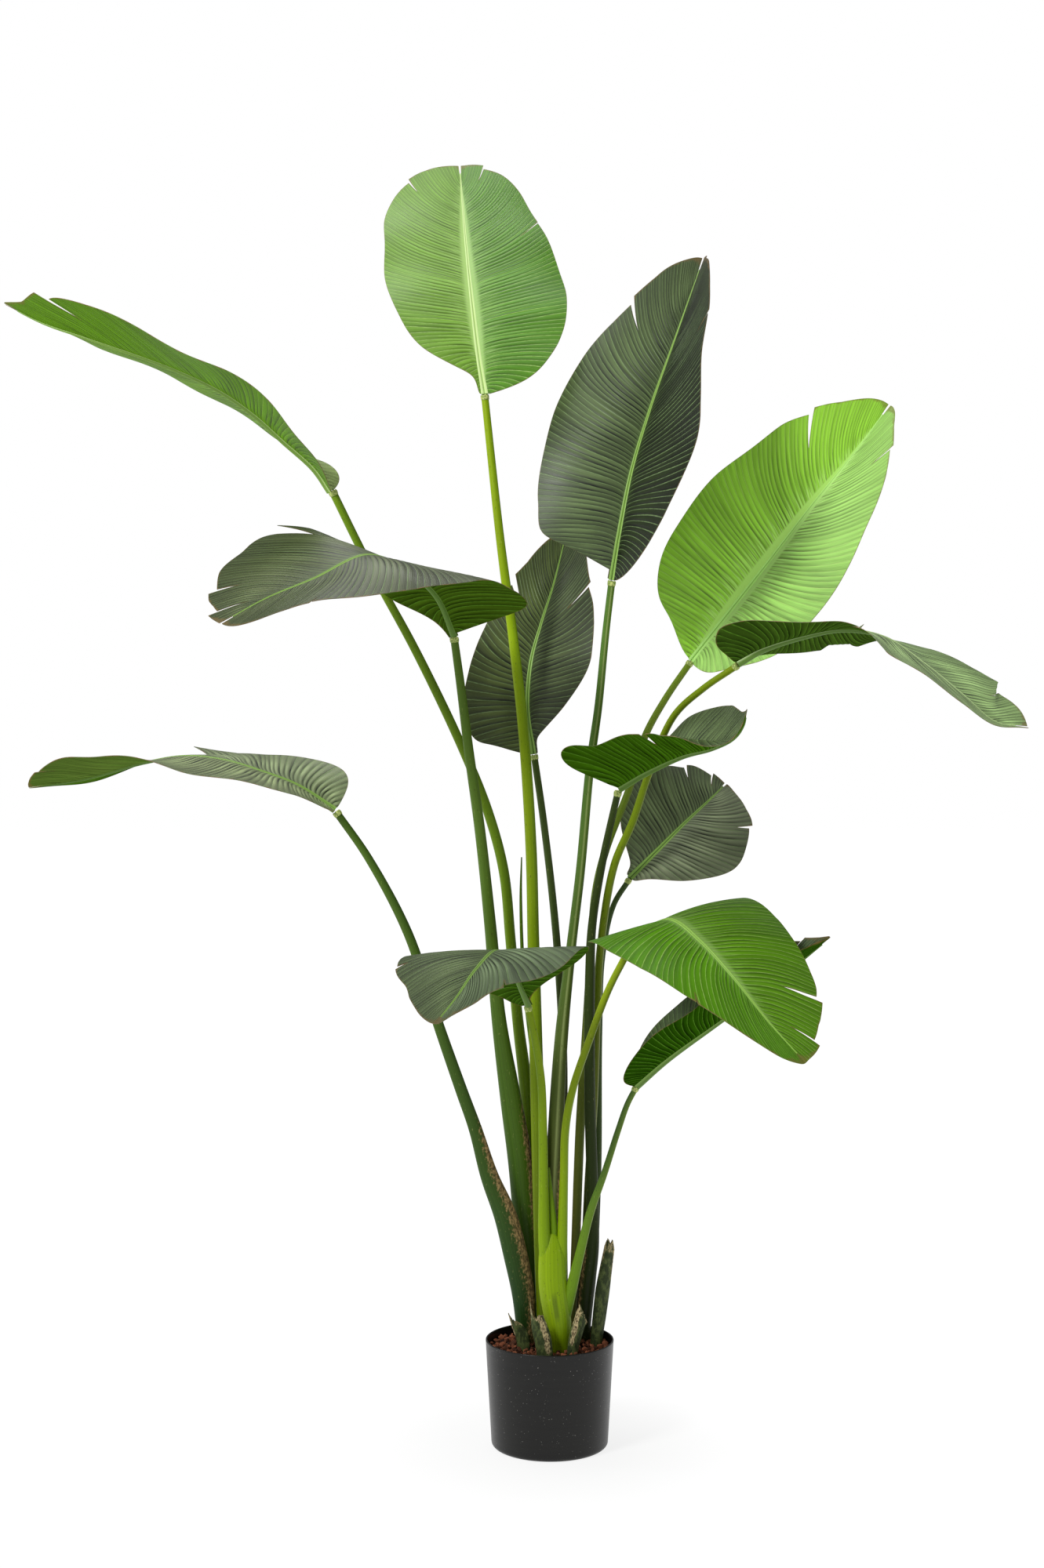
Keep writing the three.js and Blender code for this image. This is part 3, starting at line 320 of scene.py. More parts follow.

# Colours as the eye sees them, 0 to 255: the upper and lower face of a blade's left and right half,
# and for some blades its midrib's colour and the strength of the pale zone beside it. Besides the
# leaf's own colour they hold painted light and shade: the halves of one blade differ partly by
# painted shade and painted sheen, and the pale zone is partly painted light.
BLADE_LOOKS = [
    {"left": [(98, 138, 42), (104, 140, 30)], "right": [(73, 121, 22), (104, 140, 30)]},
    {"left": [(68, 82, 49), (50, 80, 14)], "right": [(20, 30, 6), (50, 80, 14)]},
    {"left": [(142, 200, 58), (104, 140, 30)], "right": [(150, 198, 98), (104, 140, 30)],
     "rib": (196, 250, 136), "halo": 2.2},
    {"left": [(138, 166, 106), (53, 77, 22)], "right": [(156, 184, 122), (48, 72, 18)],
     "rib": (196, 222, 156)},
    {"left": [(128, 152, 84), (76, 117, 8)], "right": [(140, 160, 98), (90, 130, 24)]},
    {"left": [(72, 80, 52), (54, 78, 14)], "right": [(70, 78, 50), (54, 78, 14)]},
    {"left": [(68, 79, 40), (48, 74, 14)], "right": [(54, 63, 36), (48, 74, 14)]},
    {"left": [(127, 139, 98), (73, 94, 36)], "right": [(118, 130, 94), (54, 82, 16)]},
    {"left": [(72, 87, 52), (54, 78, 28)], "right": [(76, 91, 56), (50, 86, 8)]},
    {"left": [(80, 92, 60), (48, 78, 12)], "right": [(110, 118, 91), (48, 78, 12)]},
    {"left": [(94, 109, 80), (46, 74, 12)], "right": [(79, 92, 60), (46, 74, 12)]},
    {"left": [(77, 122, 11), (92, 134, 24)], "right": [(76, 128, 10), (92, 134, 24)],
     "rib": (150, 196, 84), "halo": 0.5},
    {"left": [(66, 82, 46), (55, 83, 25)], "right": [(60, 76, 42), (30, 63, 3)]},
]


def srgb(colour):
    """The linear value of a colour as the eye sees it."""
    share = np.asarray(colour, float) / 255
    return np.where(share <= 0.04045, share / 12.92, ((share + 0.055) / 1.055) ** 2.4)


def unit(v):
    return v / np.maximum(np.linalg.norm(v, axis=-1, keepdims=True), 1e-9)


def seen(point):
    """The point that the front view shows so far across and down, at a depth behind the axis."""
    across, down, depth = point[:3]
    away = depth - EYE["y"]
    x = EYE["x"] + (across - EYE["across"]) * away / EYE["focal"]
    return np.array([x, depth, EYE["z"] - (down - EYE["down"]) * away / EYE["focal"]])


def lengths(line):
    """How far along a line of points each of them lies."""
    return np.concatenate([[0], np.cumsum(np.linalg.norm(np.diff(line, axis=0), axis=1))])


def extended(rows):
    """Rows with one more at each end, carried straight on."""
    return np.concatenate([2 * rows[:1] - rows[1:2], rows, 2 * rows[-1:] - rows[-2:-1]])


def station(rows, t):
    """The value of an even row of stations at share t, on a smooth curve through them."""
    rows = np.asarray(rows, float)
    scaled = np.asarray(t, float) * (len(rows) - 1)
    i = np.minimum(np.floor(scaled).astype(int), len(rows) - 2)
    w = scaled - i
    if rows.ndim > 1:
        w = w[..., None]
    padded = extended(rows)
    before, here, there, after = (padded[i + k] for k in range(4))
    rise, fall, step = (there - before) / 2, (after - here) / 2, there - here
    curved = 3 * step - 2 * rise - fall
    return here + rise * w + curved * w**2 + (rise + fall - 2 * step) * w**3


def spline(points, per_span):
    """A centripetal curve through points, as many steps to each span."""
    p = extended(np.asarray(points, float))
    spans = []
    for i in range(len(p) - 3):
        p0, p1, p2, p3 = p[i : i + 4]
        d0, d1, d2 = (math.sqrt(np.linalg.norm(b - a)) for a, b in ((p0, p1), (p1, p2), (p2, p3)))
        m1 = ((p1 - p0) / d0 - (p2 - p0) / (d0 + d1) + (p2 - p1) / d1) * d1
        m2 = ((p2 - p1) / d1 - (p3 - p1) / (d1 + d2) + (p3 - p2) / d2) * d1
        last = i == len(p) - 4
        t = np.linspace(0, 1, per_span + last, endpoint=last)[:, None]
        curved = -3 * p1 + 3 * p2 - 2 * m1 - m2
        spans.append(p1 + m1 * t + curved * t**2 + (2 * p1 - 2 * p2 + m1 + m2) * t**3)
    return np.concatenate(spans)


class Blade:
    """One blade's midrib and the surface of its two halves."""

    def __init__(self, rib, left, right):
        self.halves = {"left": left, "right": right}
        self.line = spline([seen(p) for p in rib], 200)
        along = lengths(self.line)
        self.length = along[-1]
        self.share = along / self.length
        self.ahead = unit(np.gradient(self.line, axis=0))

    def _at(self, rows, t):
        return np.stack([np.interp(t, self.share, rows[:, k]) for k in range(3)], -1)

    def frame(self, side, t):
        along = unit(self._at(self.ahead, t))
        out = station(self.halves[side]["out"], t)
        out = unit(out - np.sum(out * along, -1, keepdims=True) * along)
        face = np.cross(out, along) * (1 if side == "right" else -1)
        return along, out, face

    def rib(self, t):
        return self._at(self.line, t)

    def surface(self, side, x, y, lift):
        """Points x mm out from the rib at share y along it, raised by lift, and their normals."""
        shape = self.halves[side]
        t = np.clip(y, 0, 1)
        along, out, face = self.frame(side, t)
        point = self.rib(t) + (y - t)[..., None] * self.length * along
        bend = np.radians(station(shape["curl"], t))
        widest = max(shape["reach"])
        bend = np.where(np.abs(bend) < 1e-4, 1e-4, bend) / widest
        phase = WAVE["start"] * (1 if side == "left" else 1.7)
        wave = np.sin(2 * math.pi * (WAVE["count"] * t + phase))
        rise = (1 - np.cos(bend * x)) / bend + WAVE["height"] * (x / widest) ** 2 * wave
        turned = face * np.cos(bend * x)[..., None] - out * np.sin(bend * x)[..., None]
        point = point + out * (np.sin(bend * x) / bend)[..., None] + face * rise[..., None]
        return point + turned * lift[..., None], turned


def vein_rows(splits, count):
    """The rows of veins as (share, way, split), with a row for each lip of a split."""
    rows = []
    for i in range(count + 1):
        u = i / count
        split = [s for s in splits if abs(u - s[0]) <= 0.5 / count]
        rows += [(split[0][0], way, split[0]) for way in (-1, 1)] if split else [(u, 0, None)]
    return rows


def half_grid(blade, side, kind):
    """The vein rows of one half: points, normals, uv, distance to the nearest edge, and seams."""
    shape = blade.halves[side]
    pleats = round(blade.length / PLEAT)
    rows = vein_rows(shape["splits"], pleats * ROWS_PER_PLEAT)
    v = np.linspace(0, 1, COLUMNS + 1) ** 1.15
    u = np.array([r[0] for r in rows])[:, None]
    start = u * RIB_END
    end = 0.5 * (1 - np.cos(math.pi * u**VEIN_SWEEP))
    reach = np.maximum(station(shape["reach"], u), NECK * (1 - u))
    lobe = shape["lobe"] / blade.length * np.exp(-(((u - LOBE["place"]) / LOBE["width"]) ** 2))
    x = (2 * v * (1 - v) * 0.55 + v * v) * reach
    y = (1 - v) ** 2 * start + 2 * v * (1 - v) * (start + 0.12 * (end - start)) + v * v * end
    hook = HOOK["back"] / blade.length * np.exp(-v / HOOK["fade"])
    y = y - lobe * v * v - hook * np.minimum(1, u / 0.1) * np.minimum(1, (1 - u) / 0.1)
    lift = np.zeros_like(y)
    edge = (1 - v) * reach
    for i, (share, way, split) in enumerate(rows):
        for s in shape["splits"]:
            place, depth, opening, lip = (*s, 0)[:4]
            off = share - place
            gape = way
            if split is not s:
                gape = np.sign(off) * max(0, 1 - abs(off) * SPLIT_REACH)
            torn = np.maximum(0, v - (1 - depth)) / depth
            y[i] += gape * torn * opening / 2 / blade.length
            lift[i] += max(0, -gape) * torn * lip
            away = abs(off) * blade.length + np.maximum(0, (1 - depth) - v) * reach[i]
            edge[i] = np.minimum(edge[i], away)
    crest = np.sin(math.pi * np.minimum(1, v * 1.02)) ** 0.7 * np.exp(-v * 1.1)
    comb = np.abs((u * pleats) % 1 - 0.5) * 2
    fade = np.minimum(1, reach / 40) * np.clip((v * reach - 3) / 12, 0, 1)
    pleat = PLEAT_DEPTH[kind] * crest * (0.5 - comb**1.4) * fade
    points, normals = blade.surface(side, x, y, pleat + lift)
    uv = np.stack([u * pleats * np.ones_like(v), v * np.ones_like(u)], -1)
    return points, normals, uv, edge, rows, v


def grid_faces(index, flip):
    a, b, c, d = index[:-1, :-1], index[:-1, 1:], index[1:, 1:], index[1:, :-1]
    return np.stack([a, d, c, b] if flip else [a, b, c, d], -1).reshape(-1, 4).tolist()


def closed_sheet(quads, count):
    """A sheet's faces by material: the upper ones, the same turned over below, and its walls."""
    pairs = np.concatenate([quads[:, [k, (k + 1) % 4]] for k in range(4)])
    pairs = pairs[pairs[:, 0] != pairs[:, 1]]
    key = pairs[:, 0].astype(np.int64) * count + pairs[:, 1]
    back = pairs[:, 1].astype(np.int64) * count + pairs[:, 0]
    rim = pairs[~np.isin(key, back)]
    wall = np.stack([rim[:, 1], rim[:, 0], rim[:, 0] + count, rim[:, 1] + count], -1)
    return {0: quads, 1: quads[:, ::-1] + count, 2: wall}


def without_repeats(face):
    return [k for i, k in enumerate(face) if k != face[i - 1]]


class Parts:
    """Points and faces gathered piece by piece for one mesh."""

    def __init__(self, slots):
        self.points, self.uv, self.groups = [], [], [[] for _ in range(slots)]
        self.layers = {}
        self.count = 0

    def add(self, points, groups, uv=None, **layers):
        points = np.asarray(points, float).reshape(-1, 3)
        n = len(points)
        for slot, faces in groups.items():
            self.groups[slot] += [[int(k) + self.count for k in face] for face in faces]
        self.points.append(points)
        self.uv.append(np.zeros((n, 2)) if uv is None else np.asarray(uv, float).reshape(-1, 2))
        for key, value in layers.items():
            value = np.asarray(value, float)
            if value.shape in ((), (3,)):
                value = np.tile(value, (n, 1) if value.ndim else n)
            self.layers.setdefault(key, []).append(value)
        self.count += n

    def build(self, name, materials, sharp=40):
        """The mesh as an object in metres. Each group of faces takes the material of its place."""
        faces, slots = [], []
        for slot, group in enumerate(self.groups):
            for face in map(without_repeats, group):
                if len(set(face)) > 2:
                    faces.append(face)
                    slots.append(slot)
        mesh = bpy.data.meshes.new(name)
        mesh.from_pydata((np.concatenate(self.points) * MM).tolist(), [], faces)
        for material in materials:
            mesh.materials.append(MATERIALS[material])
        mesh.polygons.foreach_set("material_index", slots)
        for key, values in self.layers.items():
            values = np.concatenate(values).astype(np.float32)
            if values.ndim == 1:
                layer = mesh.attributes.new(key, "FLOAT", "POINT")
                layer.data.foreach_set("value", values)
            else:
                layer = mesh.attributes.new(key, "FLOAT_COLOR", "POINT")
                values = np.concatenate([values, np.ones((len(values), 1), np.float32)], 1)
                layer.data.foreach_set("color", values.ravel())
        corners = np.zeros(len(mesh.loops), np.int32)
        mesh.loops.foreach_get("vertex_index", corners)
        layer = mesh.uv_layers.new(name="UVMap")
        uv = np.concatenate(self.uv).astype(np.float32)
        layer.data.foreach_set("uv", uv[corners].ravel())
        mesh.shade_smooth()
        mesh.set_sharp_from_angle(angle=math.radians(sharp))
        mesh.update()
        return linked(name, mesh)


def linked(name, data):
    thing = bpy.data.objects.new(name, data)
    bpy.context.scene.collection.objects.link(thing)
    return thing


def finish_piece(thing, node):
    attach(thing, "root")
    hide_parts(node)


def tube(rings):
    """Faces through rings of points, which all have the same number of points, and its two ends."""
    rows, count = rings.shape[:2]
    index = np.arange(rows * count).reshape(rows, count)
    ends = [list(range(count))[::-1], [(rows - 1) * count + k for k in range(count)]]
    return grid_faces(np.concatenate([index, index[:, :1]], 1), False) + ends


def make_blade(number, spec):
    """A blade: its waved and pleated sheet with a wall on every edge, and the midrib over it."""
    name = f"blade_{number + 1:02d}"
    kind = "young" if number + 1 in YOUNG else "old"
    look = BLADE_LOOKS[number]
    blade = Blade(*spec)
    parts = Parts(4)
    for side in ("left", "right"):
        points, normals, uv, edge, rows, v = half_grid(blade, side, kind)
        index = np.arange(edge.size).reshape(edge.shape)
        for i, (_, way, split) in enumerate(rows):
            if way == 1:
                shut = v <= 1 - split[1]
                index[i, shut] = index[i - 1, shut]
        keep = [i for i in range(len(rows) - 1) if rows[i + 1][1] != 1]
        after = [i + 1 for i in keep]
        order = [index[keep, :-1], index[keep, 1:], index[after, 1:], index[after, :-1]]
        if side == "left":
            order = [order[k] for k in (0, 3, 2, 1)]
        quads = np.stack(order, -1).reshape(-1, 4)
        flat, face = points.reshape(-1, 3), normals.reshape(-1, 3)
        top, under = (srgb(c) for c in look[side])
        # Painted sheen: an old blade's upper face is painted lighter in a band midway out from the
        # rib.
        painted_sheen = np.ones_like(v)
        if kind == "old":
            crest = np.exp(-(((v - 0.5) / SHEEN["width"]) ** 2))
            painted_sheen = SHEEN["edge"] + SHEEN["middle"] * crest
        upper = top * np.tile(painted_sheen, len(rows))[:, None]
        parts.add(
            np.concatenate([flat + face * SHEET / 2, flat - face * SHEET / 2]),
            closed_sheet(quads, len(flat)), np.tile(uv.reshape(-1, 2), (2, 1)),
            tint=np.concatenate([upper, np.tile(under, (len(flat), 1))]),
            edge=np.tile(edge.reshape(-1), 2), halo=look.get("halo", 1.0),
        )
    colours = RIB_COLOURS[kind]
    add_midrib(parts, blade, look.get("rib", colours["light"]), colours["groove_shade"], colours["keel"])
    faces = [f"leaf_{kind}_top", f"leaf_{kind}_under", "leaf_margin", "midrib"]
    finish_piece(parts.build(f"{name}_leaf", faces), name)


def add_midrib(parts, blade, light, groove_shade, keel):
    """The midrib: a shallow channel on the upper side and a rounded keel below."""
    t = np.linspace(0, RIB_END + 0.03, 90)
    centre = blade.rib(t)
    _, out_l, face_l = blade.frame("left", t)
    _, out_r, face_r = blade.frame("right", t)
    up = unit(face_l + face_r)
    level = unit(out_r - out_l)
    wide = 4.2 * (1 - t) + 0.8 + 0.6 * np.exp(-t / 0.03)
    deep = (KEEL * (1 - 0.8 * t)) * np.minimum(1, (1.0 - t) / 0.15) + 0.5
    rings = []
    for share in (-1, -0.66, -0.33, 0, 0.33, 0.66, 1):
        out, face = (out_l, face_l) if share < 0 else (out_r, face_r)
        if share == 0:
            out, face = level, up
        crown = 0.9 * (1 - t) * (1 - (2 * abs(abs(share) - 0.55)) ** 2)
        if share == 0:
            crown = crown - 0.25
        lift = SHEET / 2 + (0.05 if abs(share) == 1 else 0.3) + crown * (abs(share) < 1)
        rings.append(centre + out * (abs(share) * wide)[:, None] + face * lift[:, None])
    for angle in np.radians([75, 50, 25, 0, -25, -50, -75]):
        aside = 0.82 * wide * math.sin(angle)
        down = SHEET / 2 + deep * math.cos(angle)
        rings.append(centre + level * aside[:, None] - up * down[:, None])
    rings = np.stack(rings, 1)
    # The channel's middle row takes the groove colour: painted shade along the groove.
    shades = [light, light, light, groove_shade, light, light, light] + [keel] * 7
    tint = np.tile(np.array([srgb(c) for c in shades]), (len(t), 1))
    uv = np.stack(np.meshgrid(np.linspace(0, 1, rings.shape[1]), t), -1)
    parts.add(rings, {3: tube(rings)}, uv, tint=tint, edge=20.0, halo=0.0)


# ------------ materials


class Wire:
    """A node's output, for which sums are written as they are read."""

    def __init__(self, shader, socket):
        self.shader, self.socket = shader, socket

    def __add__(self, other):
        return self.shader.math("ADD", self, other)

    def __sub__(self, other):
        return self.shader.math("SUBTRACT", self, other)

    def __mul__(self, other):
        return self.shader.math("MULTIPLY", self, other)


class Shader:
    """A node material: nodes are added by type, with their inputs given as values or wires."""

    def __init__(self, name):
        self.material = bpy.data.materials.new(name)
        self.material.use_nodes = True
        self.tree = self.material.node_tree
        self.main = self.tree.nodes["Principled BSDF"]

    def node(self, kind, inputs, output=0, **settings):
        made = self.tree.nodes.new("ShaderNode" + kind)
        for key, value in settings.items():
            setattr(made, key, value)
        for key, value in inputs.items():
            self.put(made.inputs[key], value)
        return Wire(self, made.outputs[output])

    def put(self, socket, value):
        if isinstance(value, Wire):
            self.tree.links.new(value.socket, socket)
        else:
            socket.default_value = value

    def math(self, operation, *values):
        return self.node("Math", dict(enumerate(values)), operation=operation)

    def ramp(self, value, low, high, start=0.0, end=1.0):
        """Value mapped smoothly from low..high to start..end."""
        inputs = {"Value": value, "From Min": low, "From Max": high, "To Min": start, "To Max": end}
        return self.node("MapRange", inputs, interpolation_type="SMOOTHSTEP", clamp=True)

    def mix(self, factor, *ends):
        one, two = (c if isinstance(c, Wire) else (*srgb(c), 1) for c in ends)
        return self.node("Mix", {0: factor, 6: one, 7: two}, 2, data_type="RGBA")

    def attribute(self, name):
        return self.node("Attribute", {}, "Fac", attribute_name=name)

    def tint(self, factor):
        """The piece's own colour, made lighter or darker by a factor."""
        colour = self.node("Attribute", {}, "Color", attribute_name="tint")
        return self.scaled(colour, factor)

    def scaled(self, colour, factor):
        return self.node("VectorMath", {0: colour, "Scale": factor}, operation="SCALE")

    def noise(self, stretch, detail=3.0, roughness=0.5, scale=1.0, over=None):
        """Noise from 0 to 1 over the object's own coordinates, stretched."""
        over = over or self.node("TexCoord", {}, "Object")
        vector = self.node("Mapping", {"Vector": over, "Scale": stretch})
        inputs = {"Vector": vector, "Scale": scale, "Detail": detail, "Roughness": roughness}
        return self.node("TexNoise", inputs)

    def weave(self, stretch, *settings):
        """Noise over the surface's own coordinates, stretched."""
        return self.noise(stretch, *settings, over=self.node("UVMap", {}))

    def bump(self, height, distance, strength):
        inputs = {"Height": height, "Distance": distance, "Strength": strength}
        self.put(self.main.inputs["Normal"], self.node("Bump", inputs))

    def finish(self, colour, roughness, specular=0.5):
        self.put(self.main.inputs["Base Color"], colour)
        self.put(self.main.inputs["Roughness"], roughness)
        self.main.inputs["Specular IOR Level"].default_value = specular
        return self.material


def leaf_face(name, vein, strength, fine, rough, mottle, shine, painted_pleat_shade, halo):
    """A leaf's upper or lower face: tint, pale vein lines, finer lines between them, painted shade
    and light across the pleats, a pale zone by the rib that is partly painted light, dry margin.
    """
    s = Shader(name)
    place = s.node("UVMap", {})
    u, v = (s.node("SeparateXYZ", {0: place}, k) for k in (0, 1))
    u = (s.weave((0.3, 0.5, 1), 1.0) - 0.5) * 1.6 + u
    broken = s.ramp(s.weave((1.3, 5, 1), 3.0, 0.5, 3.0), 0.35, 0.6)
    line = s.ramp(s.math("PINGPONG", u, 0.5), 0.03, 0.09, 1.0, 0.0) * (broken * 0.5 + 0.5)
    thin = s.ramp(s.math("PINGPONG", u * 5, 0.5), 0.08, 0.3, 1.0, 0.0)
    # Lengthwise streaks: partly the leaf's own tone, partly painted sheen along the pleats.
    streak = s.weave((3.1, 2.4, 1), 4.0, 0.6)
    light = (s.noise((9, 9, 9)) - 0.5) * mottle + ((streak - 0.5) * 0.8 + 1.0) + thin * fine
    # Painted pleat shade: each pleat is painted darker on one flank and lighter on the other, in
    # patches, with broad bands of painted light and shade, as light from the upper left would fall.
    patchy = s.ramp(s.weave((0.22, 2.2, 1), 2.0), 0.3, 0.7, 0.5 * painted_pleat_shade, 1.6 * painted_pleat_shade)
    painted_flank_shade = s.ramp(s.math("FRACT", u), 0.0, 0.85, -1.0, 1.0) * patchy
    band = s.ramp(s.weave((0.55, 0.5, 1), 2.0), 0.34, 0.66) - 0.5
    light = light + painted_flank_shade * s.ramp(v, 0.2, 1.0, 1.0, 0.4)
    light = light + band * s.ramp(v, 0.3, 1.0, painted_pleat_shade, painted_pleat_shade * 0.6)
    colour = s.mix(line * strength, s.tint(light), vein)
    # The pale zone beside the rib, mixed toward a lightened copy of the tint: partly the leaf's own
    # paler colour, partly painted light.
    pale, spread, most = halo
    rays = s.ramp(streak, 0.42, 0.68) * s.ramp(v, 0.0, spread * 3.2, most * 0.9, 0.0)
    near = s.math("MAXIMUM", s.ramp(v, spread * 0.35, spread, most, 0.0), rays)
    near = near * s.attribute("halo")
    colour = s.mix(near, colour, s.mix(0.45, s.tint(1.7), pale))
    ragged = (s.noise((90, 90, 90)) - 0.5) * 2.4 + s.attribute("edge")
    colour = s.mix(s.ramp(ragged, 0.0, 1.1, 0.6, 0.0), colour, (122, 96, 56))
    s.bump(thin * 0.3 + s.noise((420, 420, 420), 2.0) * 0.12 + line, 0.00035, 0.55)
    return s.finish(colour, (streak - 0.5) * 0.16 + rough, shine)


def margin_face():
    s = Shader("leaf_margin")
    patchy = s.ramp(s.noise((70, 70, 70)), 0.4, 0.62)
    return s.finish(s.mix(patchy, s.tint(1.0), (118, 92, 54)), 0.6)


def midrib_face():
    s = Shader("midrib")
    along = s.weave((24, 5, 1))
    light = s.weave((9, 160, 1)) * 0.16 + (along * 0.3 + 0.77)
    s.bump(along, 0.0004, 0.4)
    return s.finish(s.tint(light), 0.42, 0.3)


def stalk_face():
    """A petiole's skin: fine lines along it, freckles, and a dry brown sheath margin."""
    s = Shader("stalk")
    dry = s.attribute("dry")
    lines = s.weave((34, 0.9, 1), 3.0, 0.6)
    colour = s.tint(lines * 0.8 + (s.noise((22, 22, 7)) * 0.4 + 0.4))
    fleck = s.ramp(s.noise((520, 520, 260), 1.0), 0.69, 0.74)
    colour = s.mix(fleck * 0.6, colour, (58, 52, 26))
    pale = s.ramp(s.noise((300, 300, 120), 1.0, 0.5, 1.3), 0.7, 0.76)
    colour = s.mix(pale * 0.16, colour, (186, 184, 110))
    speckle = s.noise((330, 330, 170), 4.0, 0.7)
    brown = s.mix(s.ramp(speckle, 0.42, 0.62), (74, 62, 34), (146, 122, 78))
    colour = s.mix(s.ramp((speckle - 0.5) * 1.5 + dry, 0.35, 0.75), colour, brown)
    s.bump(lines + speckle * dry, 0.0007, 0.6)
    return s.finish(colour, dry * 0.3 + 0.42, 0.15)


def stump_face():
    """A dead leaf base: mottled green, brown and beige where it is torn."""
    s = Shader("stump")
    patch = s.noise((160, 160, 90), 4.0, 0.65)
    fine = s.noise((620, 620, 240))
    colour = s.mix(s.ramp(patch, 0.42, 0.6), (42, 54, 22), (78, 90, 46))
    colour = s.mix(s.ramp(fine, 0.58, 0.7) * 0.6, colour, (22, 26, 16))
    torn = (patch - 0.5) * 1.6 + s.attribute("dry")
    brown = s.mix(s.ramp(fine, 0.38, 0.6), (70, 56, 34), (188, 172, 126))
    s.bump(patch + fine, 0.0014, 0.7)
    return s.finish(s.mix(s.ramp(torn, 0.4, 0.72), colour, brown), 0.66, 0.25)


def pot_face():
    """Black plastic with a faint bloom, scuffs and dust specks."""
    s = Shader("pot_plastic")
    bands = s.noise((3, 3, 130), 4.0, 0.6)
    cloud = s.noise((14, 14, 10), 4.0)
    colour = s.mix(s.ramp(bands * 0.5 + cloud * 0.6, 0.35, 0.75), (9, 9, 7), (18, 18, 15))
    scuff = s.noise((34, 34, 210), 5.0, 0.75)
    patch = s.ramp(s.noise((8, 8, 12), 2.0), 0.5, 0.66)
    colour = s.mix(s.ramp(scuff, 0.64, 0.72) * (patch * 0.55), colour, (116, 114, 108))
    dust = s.ramp(s.noise((430, 430, 430), 1.0), 0.735, 0.765)
    colour = s.mix(dust * 0.5, colour, (150, 148, 142))
    s.bump(bands + scuff * 0.7, 0.0005, 0.35)
    return s.finish(colour, cloud * 0.16 + 0.26, 0.3)


def granule_face():
    """Lava granules: rough, red-brown, each lump its own tone, darker and lighter in fine spots
    over the pores.
    """
    s = Shader("granule")
    pores = s.noise((560, 560, 560), 4.0, 0.7)
    colour = s.mix(s.attribute("shade"), (38, 22, 14), (140, 82, 56))
    s.bump(pores, 0.0014, 0.9)
    return s.finish(s.scaled(colour, pores * 1.1 + 0.45), 0.9, 0.2)


def soil_face():
    s = Shader("soil_peat")
    crumbs = s.noise((210, 210, 210), 5.0, 0.7)
    s.bump(crumbs, 0.003, 1.0)
    return s.finish(s.mix(crumbs, (20, 13, 9), (66, 46, 32)), 0.95)


def socket_face():
    """The pale, fibrous collar where a blade joins its petiole."""
    s = Shader("socket")
    fibre = s.noise((380, 380, 380))
    s.bump(fibre, 0.0008, 0.7)
    return s.finish(s.mix(s.ramp(fibre, 0.38, 0.66), s.tint(1.0), (196, 204, 120)), 0.6)


# Each leaf face: its veins' colour and strength, the fine lines, roughness, mottling, gloss, how
# strong the painted shade across the pleats is, and the pale zone beside the midrib, partly painted
# light, as colour, spread and strength.
LEAF_FACES = {
    "leaf_old_top": (
        (124, 152, 96), 0.66, 0.07, 0.42, 0.5, 0.36, 0.68, ((112, 150, 66), 0.06, 0.45)),
    "leaf_old_under": (
        (96, 146, 44), 0.62, 0.12, 0.5, 0.4, 0.0, 0.5, ((84, 124, 30), 0.06, 0.4)),
    "leaf_young_top": (
        (176, 210, 112), 0.55, 0.1, 0.4, 0.4, 0.2, 0.36, ((204, 232, 156), 0.11, 0.95)),
    "leaf_young_under": (
        (134, 174, 64), 0.5, 0.1, 0.48, 0.3, 0.04, 0.45, ((130, 170, 56), 0.08, 0.4)),
}
MATERIALS = {name: leaf_face(name, *values) for name, values in LEAF_FACES.items()}
MATERIALS.update(
    leaf_margin=margin_face(), midrib=midrib_face(), stalk=stalk_face(), stump=stump_face(),
    pot=pot_face(), granule=granule_face(), soil=soil_face(), socket=socket_face(),
)

# ------------ stalks

SIDES = 28

